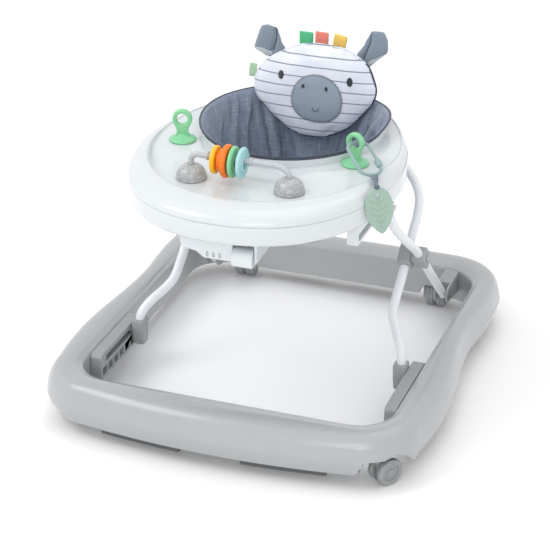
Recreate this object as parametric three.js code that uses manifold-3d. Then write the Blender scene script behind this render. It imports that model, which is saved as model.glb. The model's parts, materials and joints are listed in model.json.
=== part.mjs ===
// A folding baby walker: a wide moulded base ring on four castors, a pair of crossed tube legs on each
// side, and a two-shell play tray that carries a fabric seat, a toy bar and two loop posts.
// Units are millimetres, +Z is up, the walker faces -Y, and the origin is on the floor under the middle
// of the base.
import * as THREE from "three";
import { mergeVertices } from "three/addons/utils/BufferGeometryUtils.js";
import Module from "manifold-3d";

// ---- Driving dimensions ----------------------------------------------------------------------------
const GAP = 0.3; // clearance between touching pieces

const BASE = {
  bottomZ: 26,
  edgeZ: 84, // top of the inner wall
  crownZ: 92,
  bulgeZ: 50, // height of the widest section
  wall: 3.5,
  innerHalfX: 258,
  innerFrontY: -274,
  innerRearY: 291,
  innerRadius: 60,
  frontY: -351, // middle of the bowed front
  rearY: 351,
  frontCorner: { x: 212, y: -238, radius: 95, startAngle: 81 },
  rearCorner: { x: 206, y: 250, radius: 100 },
  waist: { y: 92, halfX: 299, frontSwell: 10, frontSpan: 222, rearSwell: 3.5, rearSpan: 115 },
};

const TUBE_R = 8;
const TUBE_HOLE_R = TUBE_R + GAP;
// The scissor: outer legs turn about REAR_PIVOT, the inner leg frame crosses them at CROSS, runs in the
// base rails at FOOT and carries the tray at TRAY_PIVOT. The outer legs' tops run in the tray channels.
const REAR_PIVOT = { y: 224, z: 68 };
const CROSS = { y: 73, z: 206 };
const FOOT = { y: 2 * CROSS.y - REAR_PIVOT.y, z: REAR_PIVOT.z };
const TRAY_PIVOT = { y: 195, z: 345 };
const TRAY_SLIDE = { y: 2 * CROSS.y - TRAY_PIVOT.y, z: TRAY_PIVOT.z };
const INNER_LEG_X = 189;
const OUTER_LEG_X = 211;
const FOOT_X = 226;

const TRAY = {
  halfX: 210,
  centreY: -52, // widest place
  front: { reach: 262, power: 2.25 }, // each half is a superellipse
  rear: { reach: 280, power: 1.76 },
  bottomZ: 370,
  seamZ: 401,
  crownZ: 422,
  lipZ: 425,
  play: { floorZ: 408, shelfZ: 414, stepY: -115, stepRun: 40 }, // sunk play area in front, shelf behind
  wall: 3,
};
const OPENING = { halfX: 146, centreY: 46, halfY: 158 };

// The left castor stands further in, under an unbroken skirt; the right one shows through an arch.
const CASTER = {
  axis: { right: { x: 259, y: -291 }, left: { x: -249, y: -275 } },
  wheelR: 22,
  trail: 10,
  heading: 35,
};
const REAR_WHEEL = { x: 180, y: 310, radius: 22, halfWidth: 17 };

const TOY_BAR = {
  x: -5.8,
  y: -180,
  footX: 79,
  deckZ: 408.3,
  axisZ: 448.2,
  radius: 4.5,
  domeR: 24,
  domeH: 24,
};
const LOOP_POST = {
  x: { right: 138, left: -148 },
  y: -60,
  deckZ: 414.3,
  eyeZ: 450.5,
  eyeR: 9,
  rimR: 16,
  discR: 21.5,
  turn: 17.5,
};

// ---- Materials -------------------------------------------------------------------------------------
const paint = (color, roughness, metalness = 0) =>
  new THREE.MeshStandardMaterial({ color, roughness, metalness });
const MATERIAL = {
  greyShell: paint(0xb4b6b8, 0.35),
  greyTrim: paint(0xa4a6a8, 0.5),
  whiteShell: paint(0xf1f3f4, 0.28),
  whiteTube: paint(0xe6e9ec, 0.3, 0.1),
  steel: paint(0xa9adb2, 0.35, 0.9),
  darkRubber: paint(0x55585b, 0.8),
  wheel: paint(0x8f9194, 0.45),
  chambray: paint(0x5d6a80, 0.9),
  faceCloth: paint(0xe6e6f2, 0.85),
  greyCloth: paint(0x84919e, 0.85),
  mint: paint(0x7fdd9c, 0.4),
  sage: paint(0xa5c6ae, 0.5),
  linkGreen: paint(0x8fb0a8, 0.45),
  yellow: paint(0xf7b81a, 0.4),
  orange: paint(0xee7d1c, 0.4),
  sky: paint(0xa4ccd2, 0.4),
  clearGrey: paint(0xc4c6c6, 0.3),
};

// ---- Solid helpers ---------------------------------------------------------------------------------
const wasm = await Module();
wasm.setup();

function solidOf(geometry) {
  const bare = new THREE.BufferGeometry();
  const flat = geometry.index ? geometry.toNonIndexed() : geometry;
  bare.setAttribute("position", flat.getAttribute("position").clone());
  const merged = mergeVertices(bare, 1e-3);
  const solid = new wasm.Manifold(
    new wasm.Mesh({
      numProp: 3,
      vertProperties: merged.attributes.position.array,
      triVerts: new Uint32Array(merged.index.array),
    }),
  );
  return solid;
}

function geometryOf(solid) {
  const mesh = solid.getMesh();
  const geometry = new THREE.BufferGeometry();
  geometry.setAttribute("position", new THREE.BufferAttribute(mesh.vertProperties, 3));
  geometry.setIndex(new THREE.BufferAttribute(mesh.triVerts, 1));
  return geometry;
}

const cut = (geometry, ...tools) =>
  geometryOf(tools.reduce((solid, tool) => solid.subtract(solidOf(tool)), solidOf(geometry)));
const join = (geometry, ...others) =>
  geometryOf(others.reduce((solid, other) => solid.add(solidOf(other)), solidOf(geometry)));
const overlap = (geometry, other) => geometryOf(solidOf(geometry).intersect(solidOf(other)));

// A closed surface through rows of points. Each row is a closed loop of the same length. Rows either
// meet end to end in a ring or are closed by a flat fan at each end.
function skin(rows, { ring = false } = {}) {
  const count = rows[0].length;
  const positions = rows.flat().flatMap((p) => [p[0], p[1], p[2]]);
  const faces = [];
  const spans = ring ? rows.length : rows.length - 1;
  for (let i = 0; i < spans; i++) {
    const a = i * count;
    const b = ((i + 1) % rows.length) * count;
    for (let k = 0; k < count; k++) {
      const n = (k + 1) % count;
      faces.push([a + k, a + n, b + n], [a + k, b + n, b + k]);
    }
  }
  if (!ring) {
    for (const [row, flip] of [[0, true], [rows.length - 1, false]]) {
      const centre = positions.length / 3;
      const sum = [0, 1, 2].map((axis) => rows[row].reduce((s, p) => s + p[axis], 0) / count);
      positions.push(...sum);
      for (let k = 0; k < count; k++) {
        const edge = [row * count + k, row * count + ((k + 1) % count)];
        faces.push(flip ? [edge[1], edge[0], centre] : [edge[0], edge[1], centre]);
      }
    }
  }
  const corner = (i) => new THREE.Vector3().fromArray(positions, 3 * i);
  const volume = faces.reduce((v, f) => v + corner(f[0]).dot(corner(f[1]).cross(corner(f[2]))), 0);
  const index = (volume < 0 ? faces.map((f) => [f[0], f[2], f[1]]) : faces).flat();
  const geometry = new THREE.BufferGeometry();
  geometry.setAttribute("position", new THREE.Float32BufferAttribute(positions, 3));
  geometry.setIndex(index);
  return geometry;
}

const circleShape = (radius, sides) =>
  new THREE.Shape(
    Array.from({ length: sides }, (_, i) => {
      const a = (2 * Math.PI * i) / sides;
      return new THREE.Vector2(radius * Math.cos(a), radius * Math.sin(a));
    }),
  );

const curveThrough = (points) =>
  new THREE.CatmullRomCurve3(points.map((p) => new THREE.Vector3(...p)), false, "centripetal");

const tube = (points, radius, steps, sides = 10) =>
  new THREE.ExtrudeGeometry(circleShape(radius, sides), {
    extrudePath: curveThrough(points),
    steps,
    bevelEnabled: false,
  });

const block = (x0, x1, y0, y1, z0, z1) =>
  new THREE.BoxGeometry(x1 - x0, y1 - y0, z1 - z0).translate((x0 + x1) / 2, (y0 + y1) / 2, (z0 + z1) / 2);

const rodX = (x0, x1, y, z, radius, sides = 16) =>
  new THREE.CylinderGeometry(radius, radius, x1 - x0, sides)
    .rotateZ(Math.PI / 2)
    .translate((x0 + x1) / 2, y, z);

const rodZ = (x, y, z0, z1, radius, sides = 20) =>
  new THREE.CylinderGeometry(radius, radius, z1 - z0, sides)
    .rotateX(Math.PI / 2)
    .translate(x, y, (z0 + z1) / 2);

// A turned piece: profile points are [radius, height] up the Z axis.
const turned = (profile, sides = 20) =>
  new THREE.LatheGeometry(profile.map((p) => new THREE.Vector2(...p)), sides).rotateX(Math.PI / 2);

// A side-view outline in (y, z), extruded from x0 to x1.
const slabX = (shape, x0, x1, curveSegments = 6) =>
  new THREE.ExtrudeGeometry(shape, { depth: x1 - x0, bevelEnabled: false, curveSegments })
    .rotateX(Math.PI / 2)
    .rotateZ(Math.PI / 2)
    .translate(x0, 0, 0);

// ---- Assembly helpers ------------------------------------------------------------------------------
const walker = new THREE.Group();
const SIDES = [
  { name: "right", mirror: 1 },
  { name: "left", mirror: -1 },
];

function piece(name, geometry, material, parent = walker) {
  const mesh = new THREE.Mesh(geometry, material);
  mesh.name = name;
  parent.add(mesh);
  return mesh;
}

// Makes the same piece on both sides: right as drawn, left mirrored across the middle plane.
function pair(name, geometry, material) {
  for (const side of SIDES) {
    piece(`${name}_${side.name}`, geometry, material).scale.x = side.mirror;
  }
}

const mix = (a, b, t) => a + (b - a) * t;
const rad = THREE.MathUtils.degToRad;
const smooth = (t) => THREE.MathUtils.smoothstep(t, 0, 1);

// ---- Base ring -------------------------------------------------------------------------------------
// Half the outer width at a place along the side: swollen at both ends, drawn in at the waist.
function outerHalfX(y) {
  const { waist } = BASE;
  const front = y < waist.y;
  const swell = front ? waist.frontSwell : waist.rearSwell;
  const span = front ? waist.frontSpan : waist.rearSpan;
  return waist.halfX + swell * (1 - Math.cos((Math.PI * (y - waist.y)) / span));
}

// Matching inner and outer plan points for the +X half, from the middle of the front to the middle of
// the rear.
function halfOutline(cornerSteps, sideSteps, endSteps) {
  const { frontCorner: fc, rearCorner: rc, innerRadius: ri, innerHalfX } = BASE;
  const innerX = innerHalfX - ri;
  const start = rad(fc.startAngle);
  const bowEnd = fc.x + fc.radius * Math.cos(start);
  const bowEndY = fc.y - fc.radius * Math.sin(start);
  const points = [];
  for (let i = 0; i < endSteps; i++) {
    const t = i / endSteps;
    const bow = (bowEndY - BASE.frontY) * t * t;
    points.push({ inner: [innerX * t, BASE.innerFrontY], outer: [bowEnd * t, BASE.frontY + bow] });
  }
  for (let i = 0; i <= cornerSteps; i++) {
    const t = i / cornerSteps;
    const a = -start * (1 - t);
    const b = (-Math.PI / 2) * (1 - t);
    points.push({
      inner: [innerX + ri * Math.cos(b), BASE.innerFrontY + ri + ri * Math.sin(b)],
      outer: [outerHalfX(fc.y) - fc.radius + fc.radius * Math.cos(a), fc.y + fc.radius * Math.sin(a)],
    });
  }
  for (let i = 1; i < sideSteps; i++) {
    const t = i / sideSteps;
    const y = mix(fc.y, rc.y, t);
    points.push({
      inner: [innerHalfX, mix(BASE.innerFrontY + ri, BASE.innerRearY - ri, t)],
      outer: [outerHalfX(y), y],
    });
  }
  for (let i = 0; i <= cornerSteps; i++) {
    const a = (Math.PI / 2) * (i / cornerSteps);
    points.push({
      inner: [innerX + ri * Math.cos(a), BASE.innerRearY - ri + ri * Math.sin(a)],
      outer: [outerHalfX(rc.y) - rc.radius + rc.radius * Math.cos(a), rc.y + rc.radius * Math.sin(a)],
    });
  }
  const last = points[points.length - 1];
  for (let i = 1; i <= endSteps; i++) {
    const t = i / endSteps;
    points.push({ inner: [innerX * (1 - t), BASE.innerRearY], outer: [last.outer[0] * (1 - t), BASE.rearY] });
  }
  return points;
}

function fullOutline(half) {
  const mirrored = half
    .slice(1, -1)
    .reverse()
    .map(({ inner, outer }) => ({ inner: [-inner[0], inner[1]], outer: [-outer[0], outer[1]] }));
  return [...half, ...mirrored];
}

// The moulded section: share of the way from the inner to the outer outline, and height. The second
// half runs back inside, one wall thickness in.
function baseSection(width) {
  const { bottomZ, edgeZ, crownZ, bulgeZ, wall } = BASE;
  const skinLine = [
    [0, bottomZ],
    [0, edgeZ - 6],
    [5, edgeZ],
    [0.45 * width, crownZ],
    [0.78 * width, crownZ - 5],
    [width - 4, mix(bulgeZ, crownZ, 0.55)],
    [width, bulgeZ],
    [width - 8, bottomZ],
  ];
  const inside = [
    [width - 8 - wall, bottomZ],
    [width - wall, bulgeZ],
    [width - 5 - wall, mix(bulgeZ, crownZ, 0.5)],
    [0.76 * width, crownZ - 6 - wall],
    [0.4 * width, crownZ - wall],
    [wall, edgeZ - 2 * wall],
    [wall, bottomZ],
  ];
  return [...skinLine, ...inside];
}

function baseShell() {
  const rows = fullOutline(halfOutline(5, 8, 4)).map(({ inner, outer }) => {
    const width = Math.hypot(outer[0] - inner[0], outer[1] - inner[1]);
    return baseSection(width).map(([offset, z]) => [
      mix(inner[0], outer[0], offset / width),
      mix(inner[1], outer[1], offset / width),
      z,
    ]);
  });
  const arches = SIDES.flatMap(({ name, mirror }) => {
    const wheelX = mirror * REAR_WHEEL.x;
    return [
      rodZ(CASTER.axis[name].x, CASTER.axis[name].y, -10, 54, 38, 24),
      rodX(wheelX - 22, wheelX + 22, REAR_WHEEL.y, REAR_WHEEL.radius, REAR_WHEEL.radius + 4),
    ];
  });
  return cut(skin(rows, { ring: true }), ...arches);
}
piece("base_shell", baseShell(), MATERIAL.greyShell);

// Trims a piece to the room inside the base's inner wall.
function insideBase(geometry) {
  const fit = 1 - GAP / BASE.innerHalfX;
  const outline = fullOutline(halfOutline(5, 8, 4)).map(({ inner }) => new THREE.Vector2(...inner));
  const room = new THREE.ExtrudeGeometry(new THREE.Shape(outline), { depth: 100, bevelEnabled: false });
  return overlap(geometry, room.scale(fit, fit, 1));
}

// A strip of rubber under the ring, following a line of plan points.
function gripPad(line, width) {
  const rows = line.map((p, i) => {
    const a = line[Math.max(i - 1, 0)];
    const b = line[Math.min(i + 1, line.length - 1)];
    const length = Math.hypot(b[0] - a[0], b[1] - a[1]);
    const nx = ((b[1] - a[1]) / length) * (width / 2);
    const ny = (-(b[0] - a[0]) / length) * (width / 2);
    const [low, high] = [16, BASE.bottomZ - GAP];
    return [
      [p[0] + nx, p[1] + ny, high],
      [p[0] + nx, p[1] + ny, low],
      [p[0] - nx, p[1] - ny, low],
      [p[0] - nx, p[1] - ny, high],
    ];
  });
  return skin(rows);
}

const PAD_INSET = 20; // from the widest outline to the middle of a pad
const frontPadLine = [50, 83, 117, 150, 184].map((x) => [x, BASE.frontY + PAD_INSET + 17 * (x / 212) ** 2]);
const sidePadLine = [10, 52, 94, 136, 178].map((y) => [outerHalfX(y) - PAD_INSET, y]);
const rearPadLine = [20, 70, 120].map((x) => [x, BASE.rearY - PAD_INSET]);
pair("grip_pad_front", gripPad(frontPadLine, 16), MATERIAL.darkRubber);
pair("grip_pad_side", gripPad(sidePadLine, 16), MATERIAL.darkRubber);
pair("grip_pad_rear", gripPad(rearPadLine, 16), MATERIAL.darkRubber);

// The rail on each inner side wall: the leg foot's pin slides in its upper slot, over a ribbed track.
const RAIL = { x0: 238, x1: 258 - GAP, y0: -206, y1: -42, z0: 38, z1: 82, pinR: 5, slotX: 252 };
const FOLDED_FOOT_Y = -185;
function slideRail() {
  const outline = new THREE.Shape();
  outline.moveTo(RAIL.y0, -RAIL.z0).lineTo(RAIL.y1, -RAIL.z0).lineTo(RAIL.y1, -RAIL.z1 + 12);
  outline.quadraticCurveTo(RAIL.y1, -RAIL.z1, RAIL.y1 - 12, -RAIL.z1).lineTo(RAIL.y0 + 12, -RAIL.z1);
  outline.quadraticCurveTo(RAIL.y0, -RAIL.z1, RAIL.y0, -RAIL.z1 + 12);
  const body = new THREE.ExtrudeGeometry(outline, {
    depth: RAIL.x1 - RAIL.x0,
    bevelEnabled: false,
    curveSegments: 3,
  })
    .rotateX(-Math.PI / 2)
    .rotateZ(Math.PI / 2);
  body.computeBoundingBox();
  body.translate(RAIL.x1 - body.boundingBox.max.x, 0, 0);
  const slotHalf = RAIL.pinR + 0.6;
  const [low, high] = [FOOT.z - slotHalf, FOOT.z + slotHalf];
  const slot = block(RAIL.x0 - 1, RAIL.slotX, FOLDED_FOOT_Y, FOOT.y + slotHalf, low, high);
  const pockets = Array.from({ length: 7 }, (_, i) => {
    const y = RAIL.y0 + 6 + i * 22.4;
    return block(RAIL.x0 - 1, RAIL.x0 + 8, y, y + 18, RAIL.z0 + 4, RAIL.z0 + 18);
  });
  return cut(body, slot, ...pockets);
}
pair("slide_rail", slideRail(), MATERIAL.greyTrim);

// The clevis at each rear corner that holds the foot of an outer leg.
const EAR = { inner: 12.5, outer: 8.7 }; // half widths over and between the ears
const PIN_R = 4;
const PIN_HOLE_R = PIN_R + GAP;
function pivotBracket() {
  const rearY = BASE.innerRearY;
  const profile = new THREE.Shape();
  profile.moveTo(rearY, 44).lineTo(rearY, 84).lineTo(REAR_PIVOT.y + 6, 82);
  profile.absarc(REAR_PIVOT.y, REAR_PIVOT.z, 14, Math.PI / 2 - 0.3, (3 * Math.PI) / 2, false);
  const outer = slabX(profile, OUTER_LEG_X - EAR.inner, OUTER_LEG_X + EAR.inner);
  const gap = block(OUTER_LEG_X - EAR.outer, OUTER_LEG_X + EAR.outer, 200, REAR_PIVOT.y + 14, 40, 90);
  return insideBase(cut(outer, gap, rodX(190, 235, REAR_PIVOT.y, REAR_PIVOT.z, PIN_HOLE_R)));
}
pair("pivot_bracket", pivotBracket(), MATERIAL.greyTrim);

// A headed pin along X: a shank with a wider head beyond each end.
function headedPin(x0, x1, y, z, radius, headR, headT = 2.5) {
  const profile = [
    [0, x0 - headT],
    [headR * 0.8, x0 - headT],
    [headR, x0],
    [radius, x0],
    [radius, x1],
    [headR, x1],
    [headR * 0.8, x1 + headT],
    [0, x1 + headT],
  ];
  return turned(profile, 12).rotateY(Math.PI / 2).translate(0, y, z);
}
const rearPin = headedPin(
  OUTER_LEG_X - EAR.inner - GAP,
  OUTER_LEG_X + EAR.inner + GAP,
  REAR_PIVOT.y,
  REAR_PIVOT.z,
  PIN_R,
  7,
);
pair("rear_pivot_pin", rearPin, MATERIAL.steel);

// ---- Wheels ----------------------------------------------------------------------------------------
// Two tyres on one axle, as a turned dumb-bell along X; innerX is where the tyres' inner faces stand.
function wheelPair(radius, innerX, outerX, axleR) {
  const tyre = [
    [axleR, innerX],
    [radius - 2, innerX],
    [radius, innerX + 2.5],
    [radius, outerX - 3],
    [radius - 3, outerX],
    [radius - 8, outerX],
    [radius - 9, outerX - 3],
    [0, outerX - 3],
  ];
  const mirrored = tyre.map(([r, x]) => [r, -x]).reverse();
  return turned([...mirrored, ...tyre], 16).rotateY(Math.PI / 2);
}

const CASTER_TYRE = { inner: 4.6, outer: 16 };
const CASTER_AXLE_R = 3.5;
function casterFork() {
  const { wheelR, trail } = CASTER;
  const stem = rodZ(0, 0, 48, 72, 5, 12);
  const plate = rodZ(0, 0, 45.5, 50, 14, 16);
  const cheek = new THREE.Shape();
  cheek.moveTo(-10, 46).lineTo(8, 46).lineTo(trail + 12, wheelR + 6);
  cheek.absarc(trail, wheelR, 13, 0.4, -Math.PI * 0.9, true);
  const web = slabX(cheek, -CASTER_TYRE.inner + 0.6, CASTER_TYRE.inner - 0.6);
  return cut(join(plate, stem, web), rodX(-10, 10, trail, wheelR, CASTER_AXLE_R + GAP));
}

for (const { name } of SIDES) {
  const caster = new THREE.Group();
  const { x, y } = CASTER.axis[name];
  caster.position.set(x, y, 0);
  caster.rotation.z = rad(-CASTER.heading);
  walker.add(caster);
  piece(`caster_fork_${name}`, casterFork(), MATERIAL.greyTrim, caster);
  const wheels = wheelPair(CASTER.wheelR, CASTER_TYRE.inner, CASTER_TYRE.outer, CASTER_AXLE_R);
  piece(`caster_wheels_${name}`, wheels, MATERIAL.wheel, caster).position.set(0, CASTER.trail, CASTER.wheelR);
  const socket = cut(rodZ(x, y, 52, 77, 13, 16), rodZ(x, y, 50, 74, 5 + GAP, 12));
  piece(`caster_socket_${name}`, socket, MATERIAL.greyTrim);
}

// Rear wheels: a wide double tyre under the rear rail, with stub axles in a two-eared housing.
const HOUSING_HALF_X = REAR_WHEEL.halfWidth + 5;
function rearWheel() {
  const { radius, halfWidth } = REAR_WHEEL;
  const half = [
    [radius - 4, 0],
    [radius - 4, 1.5],
    [radius, 4],
    [radius, halfWidth - 3],
    [radius - 3, halfWidth],
    [3.5, halfWidth],
    [3.5, halfWidth + 4],
    [0, halfWidth + 4],
  ];
  const mirrored = half.slice(1).map(([r, x]) => [r, -x]).reverse();
  return turned([...mirrored, ...half], 16)
    .rotateY(Math.PI / 2)
    .translate(REAR_WHEEL.x, REAR_WHEEL.y, radius);
}
pair("rear_wheel", rearWheel(), MATERIAL.wheel);

function rearWheelHousing() {
  const { x, y, radius, halfWidth } = REAR_WHEEL;
  const body = block(x - HOUSING_HALF_X, x + HOUSING_HALF_X, y - 14, y + 20, radius - 6, 74);
  const bay = block(x - halfWidth - 1, x + halfWidth + 1, y - 30, y + 30, 0, 2 * radius + 4);
  return cut(body, bay, rodX(x - 30, x + 30, y, radius, 3.5 + GAP));
}
pair("rear_wheel_housing", rearWheelHousing(), MATERIAL.greyTrim);

// ---- Legs ------------------------------------------------------------------------------------------
const crossHole = rodX(150, 250, CROSS.y, CROSS.z, 3.8, 12);
const innerLegHalf = [
  [FOOT_X, FOOT.y + 3, 56],
  [FOOT_X, FOOT.y + 4, 80],
  [FOOT_X - 1, FOOT.y + 8, 96],
  [FOOT_X - 10, -54, 111],
  [FOOT_X - 26, -26, 126],
  [INNER_LEG_X + 2, -10, 138],
  [INNER_LEG_X, 12, 155],
  [INNER_LEG_X, CROSS.y - 26, CROSS.z - 23],
  [INNER_LEG_X, CROSS.y, CROSS.z],
  [INNER_LEG_X, CROSS.y + 24, CROSS.z + 26],
  [INNER_LEG_X + 1, 122, 258],
  [INNER_LEG_X - 1, 137, 282],
  [INNER_LEG_X - 11, 150, 299],
  [INNER_LEG_X - 28, 164, 313],
  [128, 184, 333],
  [96, TRAY_PIVOT.y - 1, TRAY_PIVOT.z - 2],
  [76, TRAY_PIVOT.y, TRAY_PIVOT.z],
  [60, TRAY_PIVOT.y, TRAY_PIVOT.z],
];
const innerLegLine = [...innerLegHalf, ...innerLegHalf.map(([x, y, z]) => [-x, y, z]).reverse()];
const innerLegBore = tube(innerLegLine, TUBE_HOLE_R + 0.1, 72, 8);
function innerLegFrame() {
  const frame = tube(innerLegLine, TUBE_R, 72, 8);
  return cut(frame, crossHole, crossHole.clone().translate(-400, 0, 0));
}
piece("inner_leg_frame", innerLegFrame(), MATERIAL.whiteTube);

const outerLegLine = [
  [OUTER_LEG_X, REAR_PIVOT.y + 5, REAR_PIVOT.z - 4.6],
  [OUTER_LEG_X, REAR_PIVOT.y, REAR_PIVOT.z],
  [OUTER_LEG_X, CROSS.y + 60, CROSS.z - 55],
  [OUTER_LEG_X, CROSS.y, CROSS.z],
  [OUTER_LEG_X, CROSS.y - 30, CROSS.z + 26],
  [OUTER_LEG_X - 2, 2, 264],
  [OUTER_LEG_X - 9, -26, 291],
  [196, -42, 314],
  [192.5, TRAY_SLIDE.y, 336],
  [192.5, TRAY_SLIDE.y - 1, TRAY_SLIDE.z + 9],
];
const slidePinHole = rodX(150, 250, TRAY_SLIDE.y, TRAY_SLIDE.z, 5 + GAP, 12);
const rearPinHole = rodX(150, 250, REAR_PIVOT.y, REAR_PIVOT.z, PIN_HOLE_R, 12);
const outerLegBore = tube(outerLegLine, TUBE_HOLE_R + 0.1, 26, 8);
const outerLeg = cut(tube(outerLegLine, TUBE_R, 26, 8), crossHole, slidePinHole, rearPinHole);
pair("outer_leg", outerLeg, MATERIAL.whiteTube);

// The pin through the top of each outer leg, whose inner end slides in the tray channel.
pair("tray_slide_pin", rodX(169, 202.5, TRAY_SLIDE.y, TRAY_SLIDE.z, 5, 12), MATERIAL.whiteShell);

// Collars clamp the crossing tubes, each turned along its own tube, and a rivet joins them.
function collar(x0, x1, angle, bore) {
  const shape = new THREE.Shape();
  const [l, h, r] = [20, 14, 6];
  shape.moveTo(-l + r, -h).lineTo(l - r, -h).quadraticCurveTo(l, -h, l, -h + r).lineTo(l, h - r);
  shape.quadraticCurveTo(l, h, l - r, h).lineTo(-l + r, h).quadraticCurveTo(-l, h, -l, h - r);
  shape.lineTo(-l, -h + r).quadraticCurveTo(-l, -h, -l + r, -h);
  return cut(slabX(shape, x0, x1, 3).rotateX(angle).translate(0, CROSS.y, CROSS.z), bore, crossHole);
}
const COLLAR = { inner: [177, 199.8], outer: [200.2, 223] };
const INNER_SLOPE = Math.atan2(26, 26);
const OUTER_SLOPE = -Math.atan2(40, 45);
pair("cross_collar_inner", collar(...COLLAR.inner, INNER_SLOPE, innerLegBore), MATERIAL.greyTrim);
pair("cross_collar_outer", collar(...COLLAR.outer, OUTER_SLOPE, outerLegBore), MATERIAL.greyTrim);
const rivet = headedPin(COLLAR.inner[0] - GAP, COLLAR.outer[1] + GAP, CROSS.y, CROSS.z, 3.5, 7);
pair("cross_rivet", rivet, MATERIAL.steel);

// The foot on each end of the inner leg frame: a tapered block with a pin into the base rail.
function slideFoot() {
  const taper = [
    [88, 11, 13],
    [66, 11, 12.5],
    [47, 10, 10],
    [44, 8, 8],
  ];
  const rows = taper.map(([z, hx, hy]) => [
    [FOOT_X + hx, FOOT.y + 3 + hy, z],
    [FOOT_X + hx, FOOT.y + 3 - hy, z],
    [FOOT_X - hx, FOOT.y + 3 - hy, z],
    [FOOT_X - hx, FOOT.y + 3 + hy, z],
  ]);
  const pocket = rodZ(FOOT_X, FOOT.y + 3, 54, 57, TUBE_HOLE_R, 12);
  const pin = rodX(FOOT_X + 10.2, RAIL.slotX - 1.5, FOOT.y, FOOT.z, RAIL.pinR, 12);
  return cut(join(skin(rows), pin), pocket, innerLegBore);
}
pair("slide_foot", slideFoot(), MATERIAL.greyTrim);

// ---- Tray ------------------------------------------------------------------------------------------
const superPoint = (angle, power) => {
  const [c, s] = [Math.cos(angle), Math.sin(angle)];
  return [Math.sign(c) * Math.abs(c) ** (2 / power), Math.sign(s) * Math.abs(s) ** (2 / power)];
};
function trayStation(angle) {
  const half = Math.sin(angle) > 0 ? TRAY.rear : TRAY.front;
  const [ux, uy] = superPoint(angle, half.power);
  const inner = [OPENING.halfX * Math.cos(angle), OPENING.centreY + OPENING.halfY * Math.sin(angle)];
  const outer = [TRAY.halfX * ux, TRAY.centreY + half.reach * uy];
  return { inner, outer, width: Math.hypot(outer[0] - inner[0], outer[1] - inner[1]) };
}

// Sweeps a section, given as [offset from the opening, height] for a local width, round the tray.
function trayRing(section, stations = 40) {
  const rows = Array.from({ length: stations }, (_, i) => {
    const { inner, outer, width } = trayStation((2 * Math.PI * (i + 0.5)) / stations);
    const yAt = (share) => mix(inner[1], outer[1], share);
    return section(width, yAt).map(([offset, z]) => [
      mix(inner[0], outer[0], offset / width),
      mix(inner[1], outer[1], offset / width),
      z,
    ]);
  });
  return skin(rows, { ring: true });
}

function deckSection(width, yAt) {
  const { seamZ, crownZ, lipZ, play, wall } = TRAY;
  const wide = smooth((width - 100) / 60);
  const crown = mix(crownZ - 6, crownZ, wide);
  const floor = (share) => {
    const behind = smooth((yAt(share) - play.stepY) / play.stepRun + 0.5);
    return mix(play.floorZ, play.shelfZ, behind);
  };
  const low = seamZ + GAP;
  const lipRun = Math.min(0.065 * width, 3.5);
  const top = [
    [0, low],
    [0, lipZ - 3],
    [lipRun * 0.3, lipZ],
    [lipRun * 0.6, lipZ - 1],
    [lipRun, floor(lipRun / width)],
    [0.38 * width, floor(0.38)],
    [0.69 * width, floor(0.69)],
    [0.75 * width, crown],
    [0.86 * width, crown - 1],
    [0.95 * width, crown - 6],
    [width - 0.5, seamZ + 5],
    [width, low],
  ];
  const under = [
    [width - wall, low],
    [0.94 * width - wall, crown - 6 - wall],
    [0.76 * width, crown - 1 - wall],
    [0.7 * width, floor(0.69) - wall],
    [0.38 * width, floor(0.38) - wall],
    [0.1 * width, floor(0.1) - wall],
    [wall, low],
  ];
  return [...top, ...under];
}
piece("tray_deck", trayRing(deckSection), MATERIAL.whiteShell);

function panSection(width) {
  const { bottomZ, seamZ, wall } = TRAY;
  return [
    [0, seamZ],
    [0, bottomZ],
    [width - 5, bottomZ],
    [width - 1.5, bottomZ + 4],
    [width, seamZ],
    [width - wall, seamZ],
    [width - wall - 2, bottomZ + wall + 1],
    [wall, bottomZ + wall],
    [wall, seamZ],
  ];
}
piece("tray_pan", trayRing(panSection), MATERIAL.whiteShell);

// The channel under each side of the tray, in which an outer leg's pin slides forward to fold.
const CHANNEL = { x0: 164, x1: 182, y0: -178, y1: TRAY_SLIDE.y + 12, z0: 334 };
function trayChannel() {
  const body = block(CHANNEL.x0, CHANNEL.x1, CHANNEL.y0, CHANNEL.y1, CHANNEL.z0, TRAY.bottomZ - GAP);
  const half = 5 + 0.6;
  const { y, z } = TRAY_SLIDE;
  const slot = block(CHANNEL.x0 + 4, 190, CHANNEL.y0 + 5, y + half, z - half, z + half);
  return cut(body, slot);
}
pair("tray_channel", trayChannel(), MATERIAL.whiteShell);

// The saddle that hangs the tray on the inner leg frame's cross tube.
function rearSaddle() {
  const profile = new THREE.Shape();
  profile.moveTo(TRAY_PIVOT.y + 13, TRAY.bottomZ - GAP).lineTo(TRAY_PIVOT.y - 13, TRAY.bottomZ - GAP);
  profile.lineTo(TRAY_PIVOT.y - 13, TRAY_PIVOT.z);
  profile.absarc(TRAY_PIVOT.y, TRAY_PIVOT.z, 13, Math.PI, 2 * Math.PI, false);
  return cut(slabX(profile, 28, 56), rodX(0, 90, TRAY_PIVOT.y, TRAY_PIVOT.z, TUBE_HOLE_R + 0.4));
}
pair("tray_saddle", rearSaddle(), MATERIAL.whiteShell);

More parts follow.
